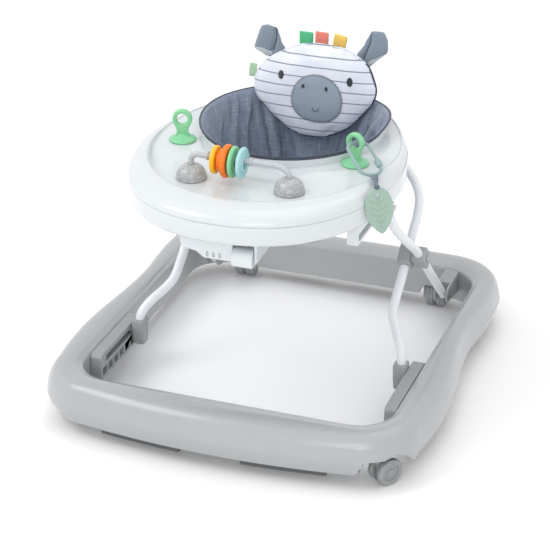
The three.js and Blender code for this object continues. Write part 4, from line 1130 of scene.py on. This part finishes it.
# The back panel behind the headrest, in the seat's cloth.
panel_outline = [(84 * math.cos(a), 33 * math.sin(a)) for a in turns(72)]
panel = lean_back(pillow("seat_back_panel", panel_outline, 5.0, "seat"), 200, 456)
inflate(panel, 3.0, 5.0, 4.0)
sheet_uv(panel)
stand_in(seat, "tray", "chambray", "seat_bucket")
stand_in(panel, "tray", "chambray")
rim_line = [
    ((147.2 + 7 * puff(a)) * math.cos(a), 46 + (158.8 + 7 * puff(a)) * math.sin(a), 428.9 + 8 * puff(a))
    for a in turns(200)
]
rim = tube("seat_rim_piping", rim_line, 1.7, "piping", 12, closed=True)
stand_in(rim, "tray", "chambray")
for side, line in hole_edges:
    edge = tube(f"leg_hole_binding_{side}", resample(line, 90, True), 2.6, "piping", 12, closed=True)
    stand_in(edge, "tray", "chambray")

# ---- Headrest ---------------------------------------------------------------------------------------
HEAD_OUTLINE = [
    (0, 74), (28, 73), (52, 69), (74, 60), (91, 46), (102, 28), (107.5, 8), (107, -9), (97, -27), (83, -44),
    (66, -62), (44, -76), (19, -83), (-10, -83.5), (-37, -77), (-59, -66), (-79, -49), (-95, -31),
    (-104.5, -13), (-105, 3), (-99, 19), (-87, 35), (-70, 50), (-50, 61), (-26, 70),
]
wide_outline = [(1.012 * x, 1.02 * h + (2.0 if h > 0 else 0)) for x, h in HEAD_OUTLINE]
head = pillow("headrest_pad", resample(wide_outline, 120, True), 15.5, "face")
inflate(lean_back(head), 4.0, 5.0, 4.5)
sheet_uv(head)
stand_in(head, "tray", "face_cloth", "head_pad")
head_skin = BVHTree.FromObject(head, bpy.context.evaluated_depsgraph_get())
LEAN_TURN = LEAN.to_3x3()
HEAD_CENTRE = Vector((0, HEAD["y"], HEAD["z"]))
FACE_OUT = (LEAN_TURN @ Vector((0, -1, 0))).normalized()


def on_face(x, h, lift=0.0):
    """The point of the headrest's front over (x, h) of its own plane, raised by a lift."""
    spot = HEAD_CENTRE + LEAN_TURN @ Vector((x, 0, h))
    hit = head_skin.ray_cast((spot + FACE_OUT * 80) * MM, -FACE_OUT)[0]
    return tuple((hit / MM if hit else spot) + FACE_OUT * lift)


def patch(name, outline, thick, material, slot):
    """A padded shape sewn on the headrest's front."""
    centre = np.array(outline, float).mean(0)
    rings = 7
    rows = []
    for i in range(rings + 1):
        share = 0.04 + 0.96 * math.sin(math.pi / 2 * i / rings)
        lift = thick * max(0.0, 1 - share**3.2) ** 0.6 + 0.15
        rows.append([on_face(*p, lift) for p in drawn_in(outline, centre, share)])
    for share in (0.985, 0.6, 0.05):
        rows.append([on_face(*p, -0.6) for p in drawn_in(outline, centre, share)])
    obj = loft(name, rows, material, uv=True, sharp=70)
    return stand_in(obj, "tray", slot)


def oval(x, h, half_w, half_h, power=2.0, egg=0.0, count=72, turn=0.0):
    """A tilted oval on the face. power squares it off and egg makes its lower end wider."""
    along, across = math.cos(turn), math.sin(turn)
    points = []
    for a in turns(count):
        u = half_w * bowed(math.cos(a), 2 / power) * (1 - egg * math.sin(a))
        v = half_h * bowed(math.sin(a), 2 / power)
        points.append((x + u * along - v * across, h + u * across + v * along))
    return points


snout_outline = oval(12, -13, 43, 39.5, 2.15, 0.07, turn=math.radians(-3))
patch("snout", snout_outline, 3.0, "snout", "ear_cloth")
for name, x, h, w, tall, turn in (
    ("eye_right", 65.4, 20.5, 4.9, 7.6, 5), ("eye_left", -52.3, 19, 5.1, 7.4, 0),
    ("nostril_right", 28.4, 6, 2.6, 3.8, 8), ("nostril_left", -11.3, 6.2, 2.6, 3.6, 4),
):
    raised = 3.2 if name.startswith("nostril") else 0.0
    outline = oval(x, h, w, tall, count=32, turn=math.radians(turn))
    centre = np.array([x, h])
    rows = []
    for share in (0.05, 0.4, 0.7, 0.88, 0.97, 1.0):
        lift = raised + 0.3 + 1.1 * max(0.0, 1 - share**2.5) ** 0.6
        rows.append([on_face(*p, lift) for p in drawn_in(outline, centre, share)])
    for share in (0.9, 0.05):
        rows.append([on_face(*p, -0.8) for p in drawn_in(outline, centre, share)])
    stand_in(loft(name, rows, "stitch", sharp=70), "tray", "dark_nylon")
arc = [(6.6, -27.6), (7.2, -30.2), (9.2, -32.4), (12.2, -33.2), (15.2, -32.2), (17.0, -29.9), (17.4, -27.3)]
smile = tube("smile", [on_face(x, h, 3.4) for x, h in resample(arc, 30)], 0.75, "smile", 10)
stand_in(smile, "tray", "dark_nylon")


def seam_stitches(name, outline, lift):
    """Close zigzag stitches over a patch's edge."""
    reach, spacing = 1.6, 2.6
    outline = np.array(outline, float)
    length = np.linalg.norm(np.roll(outline, -1, 0) - outline, axis=1).sum()
    line = resample([tuple(p) for p in outline], int(length / spacing) * 2, True)
    centre = line.mean(0)
    out = (line - centre) / np.linalg.norm(line - centre, axis=1)[:, None]
    zigzag = [
        on_face(*(p + o * (reach if i % 2 else -reach)), 0.25 if i % 2 else lift)
        for i, (p, o) in enumerate(zip(line, out))
    ]
    return tube(name, zigzag, 0.32, "smile", 6, closed=True)


stand_in(seam_stitches("snout_stitches", snout_outline, 1.6), "tray", "ear_cloth")

# The seam follows the headrest's widest line.
flat = (points_of(head) / MM - np.array(HEAD_CENTRE)) @ np.array(LEAN_TURN)
seam = []
for a in turns(140):
    far = flat[np.argmax(flat[:, 0] * math.cos(a) + flat[:, 2] * math.sin(a))]
    seam.append((far[0] + 0.6 * math.cos(a), 1.5, far[2] + 0.6 * math.sin(a)))
seam = [tuple(LEAN_TURN @ Vector(p) + HEAD_CENTRE) for p in resample(seam, 110, True)]
for _ in range(2):
    ring = np.array(seam)
    seam = (np.roll(ring, 1, 0) + 2 * ring + np.roll(ring, -1, 0)) / 4
# Dark piping runs down the right and under the chin, and a pale seam the rest of the way.
seam = np.roll(resample(list(seam), 240, True), -132, axis=0)
dark_end = 130
stand_in(tube("headrest_piping", seam[:dark_end], 1.8, "piping", 12), "tray", "face_cloth")
pale_line = np.concatenate([seam[dark_end - 1 :], seam[:1]])
stand_in(tube("headrest_seam", pale_line, 1.5, "face", 12), "tray", "face_cloth")

# ---- Ears and tags ----------------------------------------------------------------------------------
EARS = {
    "left": {
        "outline": [
            (-99, 535), (-88, 537), (-78, 534), (-69, 524), (-64, 510), (-56, 494), (-62, 484), (-74, 480),
            (-89, 479), (-103, 486), (-114, 494), (-112, 506), (-107, 520), (-103, 530),
        ],
        "fold": [(-76, 532), (-74, 517), (-76, 504), (-79, 494)],
        "flap": [(-113, 493.5), (-101, 496), (-90, 494), (-80, 489), (-89, 481.5), (-101, 486.5)],
    },
    "right": {
        "outline": [
            (85, 541), (90, 546.5), (100, 548.5), (110, 547), (116, 538), (118.5, 526), (119, 514),
            (108, 503), (97, 491), (83, 480), (70, 484), (63, 502), (73, 518), (79, 530),
        ],
        "fold": [(87, 541), (88, 527), (83, 513), (77, 498)],
        "flap": [(118, 513), (108, 507), (98, 501), (88, 496), (84, 488), (95, 493), (106, 502)],
    },
}
EAR_Y = 174
for side, _ in SIDES:
    shape = EARS[side]
    ear = pillow(f"ear_pad_{side}", resample(shape["outline"], 80, True), 6.5, "ear", back=0.7)
    ear.data.transform(Matrix.Translation((0, EAR_Y * MM, 0)))
    inflate(ear, 3.0, 3.5, 3.0)
    fold = np.array(resample(shape["fold"], 40))
    for vertex in ear.data.vertices:
        x, y, z = vertex.co / MM
        near = np.min(np.hypot(fold[:, 0] - x, fold[:, 1] - z))
        if y < EAR_Y:
            vertex.co.y += 4.2 * math.exp(-((near / 3.4) ** 2)) * MM
    ear.data.update()
    sheet_uv(ear)
    stand_in(ear, "tray", "ear_cloth", f"ear_{side}")
    ear_skin = BVHTree.FromObject(ear, bpy.context.evaluated_depsgraph_get())

    def on_ear(x, z, lift):
        hit = ear_skin.ray_cast(Vector((x, 100, z)) * MM, Vector((0, 1, 0)))[0]
        return (x, (hit.y / MM if hit else 172) - lift, z)

    outline = resample(shape["flap"], 60, True)
    centre = outline.mean(0)
    stages = [(s, 0.9 * (1 - s**3) + 0.3) for s in (0.05, 0.4, 0.75, 0.95, 1)] + [(0.97, -0.8), (0.05, -0.8)]
    rows = [[on_ear(*p, lift) for p in drawn_in(outline, centre, s)] for s, lift in stages]
    stand_in(loft(f"ear_lining_{side}", rows, "lining", sharp=70), "tray", "ear_cloth")
    crease = [on_ear(x, z, 0.1) for x, z in resample(shape["fold"], 24)]
    stand_in(tube(f"ear_seam_{side}", crease, 0.7, "piping", 8), "tray", "ear_cloth")


def ribbon_tag(name, x, z, width, height, turn, material, y=176, sway=0.0):
    """A folded ribbon loop, sewn in at its lower end."""
    side = [(1.6, 0.95 * height), (2.6, 0.7 * height), (1.9, 0.3 * height), (1.2, 0)]
    line = resample([(-y, z) for y, z in reversed(side)] + [(0, height)] + side, 40)
    loop = [(p[0], p[1]) for p in line]
    inner = [(p[0] * 0.62, min(p[1], height - 1.1)) for p in reversed(line)]
    rows = []
    for share in (-1, -0.96, -0.33, 0.33, 0.96, 1):
        grow = 0.9 if abs(share) == 1 else 1.0
        row = []
        for py, pz in loop + inner:
            row.append((share * width / 2, (py + sway * (pz / height) ** 2) * grow, pz))
        rows.append(row)
    tag = loft(name, rows, material, sharp=60)
    place = Matrix.Translation(Vector((x, y, z)) * MM)
    tag.data.transform(place @ Matrix.Rotation(math.radians(turn), 4, "Y"))
    return stand_in(tag, "tray", "face_cloth")


ribbon_tag("tag_green", -23.5, 505, 22.5, 26, 1, "tag_green", sway=-1.0)
ribbon_tag("tag_coral", 3.2, 507, 21.5, 26, 1, "tag_coral", sway=0.5)
ribbon_tag("tag_yellow", 32, 505, 21.5, 27, 10, "tag_yellow", sway=-0.5)
ribbon_tag("tag_side", -101, 462, 22, 13, -84, "tag_pale", y=150)

# ---- Toy bar ----------------------------------------------------------------------------------------
BAR = {"x": -5.8, "y": -180, "foot_x": 79, "deck": 408.3, "axis": 448.2, "radius": 4.5, "drop": 4.2}
bar_plan = [
    (-79, 426.5), (-79, 436.3), (-78, 442.2), (-71, 447.7), (-61, 448.2), (-20, 448.2), (42, 448.2),
    (59, 447.7), (72, 443.2), (79, 436.3), (79, 426.5),
]
bar_line = [(BAR["x"] + x, BAR["y"], z) for x, z in bar_plan]
bar = tube("toy_bar_rod", resample(bar_line, 150), BAR["radius"], "smoky", 24)


def band_profile(inner, outer, low, high, corner):
    """The closed profile of a short sleeve."""
    profile = [(inner, low), (outer, low), (outer, high), (inner, high)]
    return rounded(profile, corner) + [(inner, low)]


def bar_stop(x):
    profile = band_profile(4.3, 6.6, x - 1.8, x + 1.8, 0.7)
    return lathe("stop", profile, "speckled", 32, "X", (0, BAR["y"], BAR["axis"]))


stops = [bar_stop(x) for x in (-57.5, 12.5)]
stand_in(merge(bar, *stops), "tray", "speckled_grey", "toy_bar")
for side, m in SIDES:
    profile = [(0, 0), (22.9, 0), (23.9, 0.7), (23.9, 2.4), (23.4, 3.0)]
    for a in np.radians(np.linspace(3, 80, 20)):
        profile.append((23.4 * math.cos(a) ** 0.92, 3.0 + 20.6 * math.sin(a)))
    profile += [(5.3, 23.9), (5.0, 23.2), (0, 23)]
    at = (BAR["x"] + m * BAR["foot_x"], BAR["y"], BAR["deck"])
    dome = lathe(f"bar_foot_{side}", profile, "speckled", 64, "Z", at, sharp=55)
    stand_in(dome, "tray", "speckled_grey", f"bar_dome_{side}")


RING_Z = BAR["axis"] - BAR["drop"]
RING_SLOTS = {"yellow": "yellow", "orange": "orange", "green": "mint", "sky": "sky"}


def toy_ring(name, x, profile, lobes=None, extra=()):
    """A ring on the toy bar, with any parts joined to it."""
    whole = rounded(profile + [profile[0]], 1.1)
    whole[-1] = whole[0]
    slot = RING_SLOTS[name]
    ring = lathe(f"{name}_ring", whole, slot, 96, "X", (x, BAR["y"], RING_Z), lobes, sharp=50)
    if extra:
        ring = merge(ring, *extra)
    return stand_in(ring, f"ring_{name}", slot, f"ring_{name}")


def hub(x, half, radius, material):
    profile = band_profile(9.2, radius, -half, half, 0.6)
    return lathe("hub", profile, material, 40, "X", (x, BAR["y"], RING_Z))


def scallops(count, depth, inside):
    return lambda a, r: 1 - (depth * (0.5 - 0.5 * abs(math.cos(count * a / 2)) ** 0.7) if r > inside else 0)


toy_ring("yellow", -44.4, mirrored([(22, 1.6), (21.3, 3), (19.5, 3.9), (16, 3.2), (14, 3.9), (9.2, 3.9)]))
knobbly = mirrored([(25.9, 2.4), (23.6, 4.8), (20, 5), (17, 3.9), (9.2, 3.9)])
toy_ring("orange", -26.6, knobbly, scallops(18, 0.07, 19), [hub(-34.5, 4.0, 16.8, "rust")])
toy_ring("green", -15.7, mirrored([(24.5, 1), (23.7, 2.6), (21.6, 3.4), (9.2, 3.4)]))
spiral = []
for t in np.linspace(0, 1, 90):
    a, r = 4.6 * math.pi * t, mix(13.4, 21.6, t)
    spiral.append((1.6, BAR["y"] + r * math.cos(a), RING_Z + r * math.sin(a)))
# The thin near-black band on the sky ring's face paints the shade of its centre hole.
sky_parts = [hub(0.5, 2.4, 12.4, "sky"), hub(2.7, 0.3, 10.4, "dark"), tube("spiral", spiral, 0.75, "sky", 8)]
sky_profile = [
    (9.2, -3.6), (21.5, -3.9), (24, -2.8), (25, -0.6), (24.6, 1), (22.6, 2.7), (20, 2.9), (13, 2.9),
    (9.2, 2.9),
]
toy_ring("sky", -1.5, sky_profile, extra=sky_parts)

# ---- Loop posts -------------------------------------------------------------------------------------
POST = {"y": -60, "deck": 414.3, "eye_z": 450.5, "eye": 8.4, "rim": 15.8, "turn": 17.5}
POST_X = {"right": 138, "left": -148}


def loop_post(side, m):
    """A flared disc foot, and a flat teardrop stem with an eye."""
    up = POST["eye_z"] - POST["deck"]
    profile = [
        (0, 0), (20.6, 0), (21.5, 0.8), (21.5, 2.2), (20.6, 3.4), (18, 4.9), (14, 6.8), (10, 9.2), (7.5, 12),
        (0, 13),
    ]
    disc = lathe(f"loop_post_{side}_green", profile, "mint", 72, sharp=60)
    outline = []
    for a in np.radians(np.linspace(-28, 208, 40)):
        outline.append((POST["rim"] * math.cos(a), up + POST["rim"] * math.sin(a)))
    neck = [(10.5, 7), (9.2, 12), (9.4, 17), (11.0, up - 14)]
    outline += [(-x, z) for x, z in reversed(neck)] + neck
    outline = resample(outline, 110, True)
    eye = np.array([0, up])
    section = []
    thick, corner, bore_round = 4.6, 2.6, 3.0
    for a in np.radians(np.linspace(-90, 90, 9)):
        depth = math.copysign(thick - corner, a) + corner * math.sin(a)
        section.append((1, -corner + corner * math.cos(a), depth))
    for a in np.radians(np.linspace(90, 270, 13)):
        section.append((0, bore_round + bore_round * math.cos(a), thick * math.sin(a)))
    rows = []
    for point in outline:
        length = np.linalg.norm(point - eye)
        way = (point - eye) / length
        row = []
        for at_rim, out, depth in section:
            radius = length + out if at_rim else POST["eye"] + out
            spot = eye + way * radius
            row.append((spot[0], depth, spot[1]))
        rows.append(row)
    stem = loft("stem", rows, "mint", ring=True, sharp=60)
    post = merge(disc, stem)
    turn = Matrix.Rotation(math.radians(-m * POST["turn"]), 4, "Z")
    post.data.transform(Matrix.Translation(Vector((POST_X[side], POST["y"], POST["deck"])) * MM) @ turn)
    return stand_in(post, "tray", "mint", f"loop_post_{side}")


for side, m in SIDES:
    loop_post(side, m)

# ---- Link, strap and leaf ---------------------------------------------------------------------------
EYE = Vector((138, -60, 450.5))
RUN = Vector((0.6, -0.756, -0.262)).normalized()
ACROSS = Vector((0.783, 0.622, 0)).normalized()
LINK = {"length": 82, "end": 17.5, "wire": 2.6}


def on_link(run, side, lift=0.0):
    return tuple(EYE + RUN * run + ACROSS * side + RUN.cross(ACROSS) * lift)


oval_line = []
for way, centre in ((-1, LINK["end"]), (1, LINK["length"] - LINK["end"])):
    for a in np.linspace(-math.pi / 2, math.pi / 2, 24):
        oval_line.append(on_link(centre + way * LINK["end"] * math.cos(a), way * LINK["end"] * math.sin(a)))
link_line = resample(oval_line, 150, True)
link = tube("link_oval", link_line, LINK["wire"], "link", 16, closed=True)
clasp_profile = rounded([(0, -9), (3.4, -9), (5.2, -6.5), (5.2, 5), (3.6, 9), (0, 9)], 1.2)
clasp = lathe("clasp", clasp_profile, "link", 28, "Z")
clasp_place = Matrix.Translation(Vector(on_link(57, LINK["end"] - 0.6)) * MM)
clasp.data.transform(clasp_place @ RUN.to_track_quat("Z", "Y").to_matrix().to_4x4())
stand_in(merge(link, clasp), "link", "link_green", "link_ring")

LEAF_TOP = Vector((206.5, -171, 430.5))
LEAF_FACING, LEAF_TILT = math.radians(33.5), math.radians(-9)
LEAF_SIDE = Vector((math.cos(LEAF_FACING), math.sin(LEAF_FACING), 0))
leaf_turn = Matrix.Rotation(LEAF_FACING, 4, "Z") @ Matrix.Rotation(LEAF_TILT, 4, "Y")
to_leaf = Matrix.Translation(LEAF_TOP * MM) @ leaf_turn
leaf_half = [
    (6, -0.4), (12, -4), (17.5, -12), (21, -24), (21.8, -36), (19.6, -49), (13, -62), (5, -72.5),
]
leaf_outline = [(0, 0.5)] + leaf_half + [(0, -76)] + [(-x, z) for x, z in reversed(leaf_half)]


def leaf_body(name, outline, half_thick, material):
    """A flat leaf with a thicker rim."""
    outline = resample(outline, 120, True)
    centre = np.array([0, -36.0])
    stages = [
        (0.06, 0.86), (0.35, 0.82), (0.7, 0.78), (0.86, 0.84), (0.94, 1.0), (0.975, 0.92), (0.994, 0.6),
        (1, 0.2),
    ]
    rows = []
    for sign in (-1, 1):
        side = []
        for share, lift in stages:
            side.append([(p[0], sign * half_thick * lift, p[1]) for p in drawn_in(outline, centre, share)])
        rows += side if sign < 0 else side[::-1]
    return loft(name, rows, material, sharp=70)


def vein(points, count, radius):
    return tube("vein", resample(points, count), radius, "sage", 8, flat=0.8)


leaf = leaf_body("leaf_teether", leaf_outline, 1.7, "sage")
hole_rows = [[(3.2 * math.cos(a), y, -11 + 5 * math.sin(a)) for a in turns(40)] for y in (-8, 8)]
cut(leaf, loft("hole", hole_rows, "sage"))
veins = []
for y in (-1.42, 1.42):
    veins.append(vein([(0, y, -19), (0.4, y, -45), (0, y, -68)], 24, 0.75))
    for z in (-26, -37, -48, -58):
        for way in (-1, 1):
            reach = way * (14 - 0.1 * abs(z + 36))
            tip = reach * (1 if z > -50 else 0.62)
            veins.append(vein([(0, y, z), (reach * 0.5, y, z + 4), (tip, y, z + 9)], 14, 0.55))
merge(leaf, *veins)
leaf.data.transform(to_leaf)
stand_in(leaf, "leaf", "sage", "leaf")


def strap(name, start, end, width, thick, bow, material):
    """A short flat ribbon between two points."""
    start, end = Vector(start), Vector(end)
    way = (end - start).normalized()
    side = way.cross(LEAF_SIDE).normalized()
    across = side.cross(way).normalized()
    upper = [(1, 0.4), (0.94, 1), (-0.94, 1), (-1, 0.4)]
    corners = [(u, -v) for u, v in reversed(upper)] + upper
    rows = []
    for t in np.linspace(0, 1, 13):
        centre = start.lerp(end, t) + side * bow * math.sin(math.pi * t)
        rows.append([tuple(centre + across * u * width / 2 + side * v * thick / 2) for u, v in corners])
    return loft(name, rows, material, sharp=50)


top = to_leaf @ (Vector((0, 0, -7)) * MM) / MM
end_left, end_right = (Vector(on_link(LINK["length"] + 1.4, s)) for s in (-4, 4))
low_left, low_right = (top + LEAF_SIDE * s + Vector((0, 0, 6.4)) for s in (-2.2, 2.2))
knot_profile = mirrored([(4.0, 1.8), (2.4, 3.2), (0, 3.4)], [(4.4, 0)])
band = merge(
    strap("leaf_ribbon", end_left, low_right, 6, 1.1, 1.2, "strap"),
    strap("ribbon_b", end_right, low_left, 6, 1.1, -1.2, "strap"),
    lathe("knot", knot_profile, "strap", 28, "Z", tuple(top + Vector((0, 0, 8.4)))),
)
stand_in(band, "leaf", "dark_nylon", "leaf_strap")
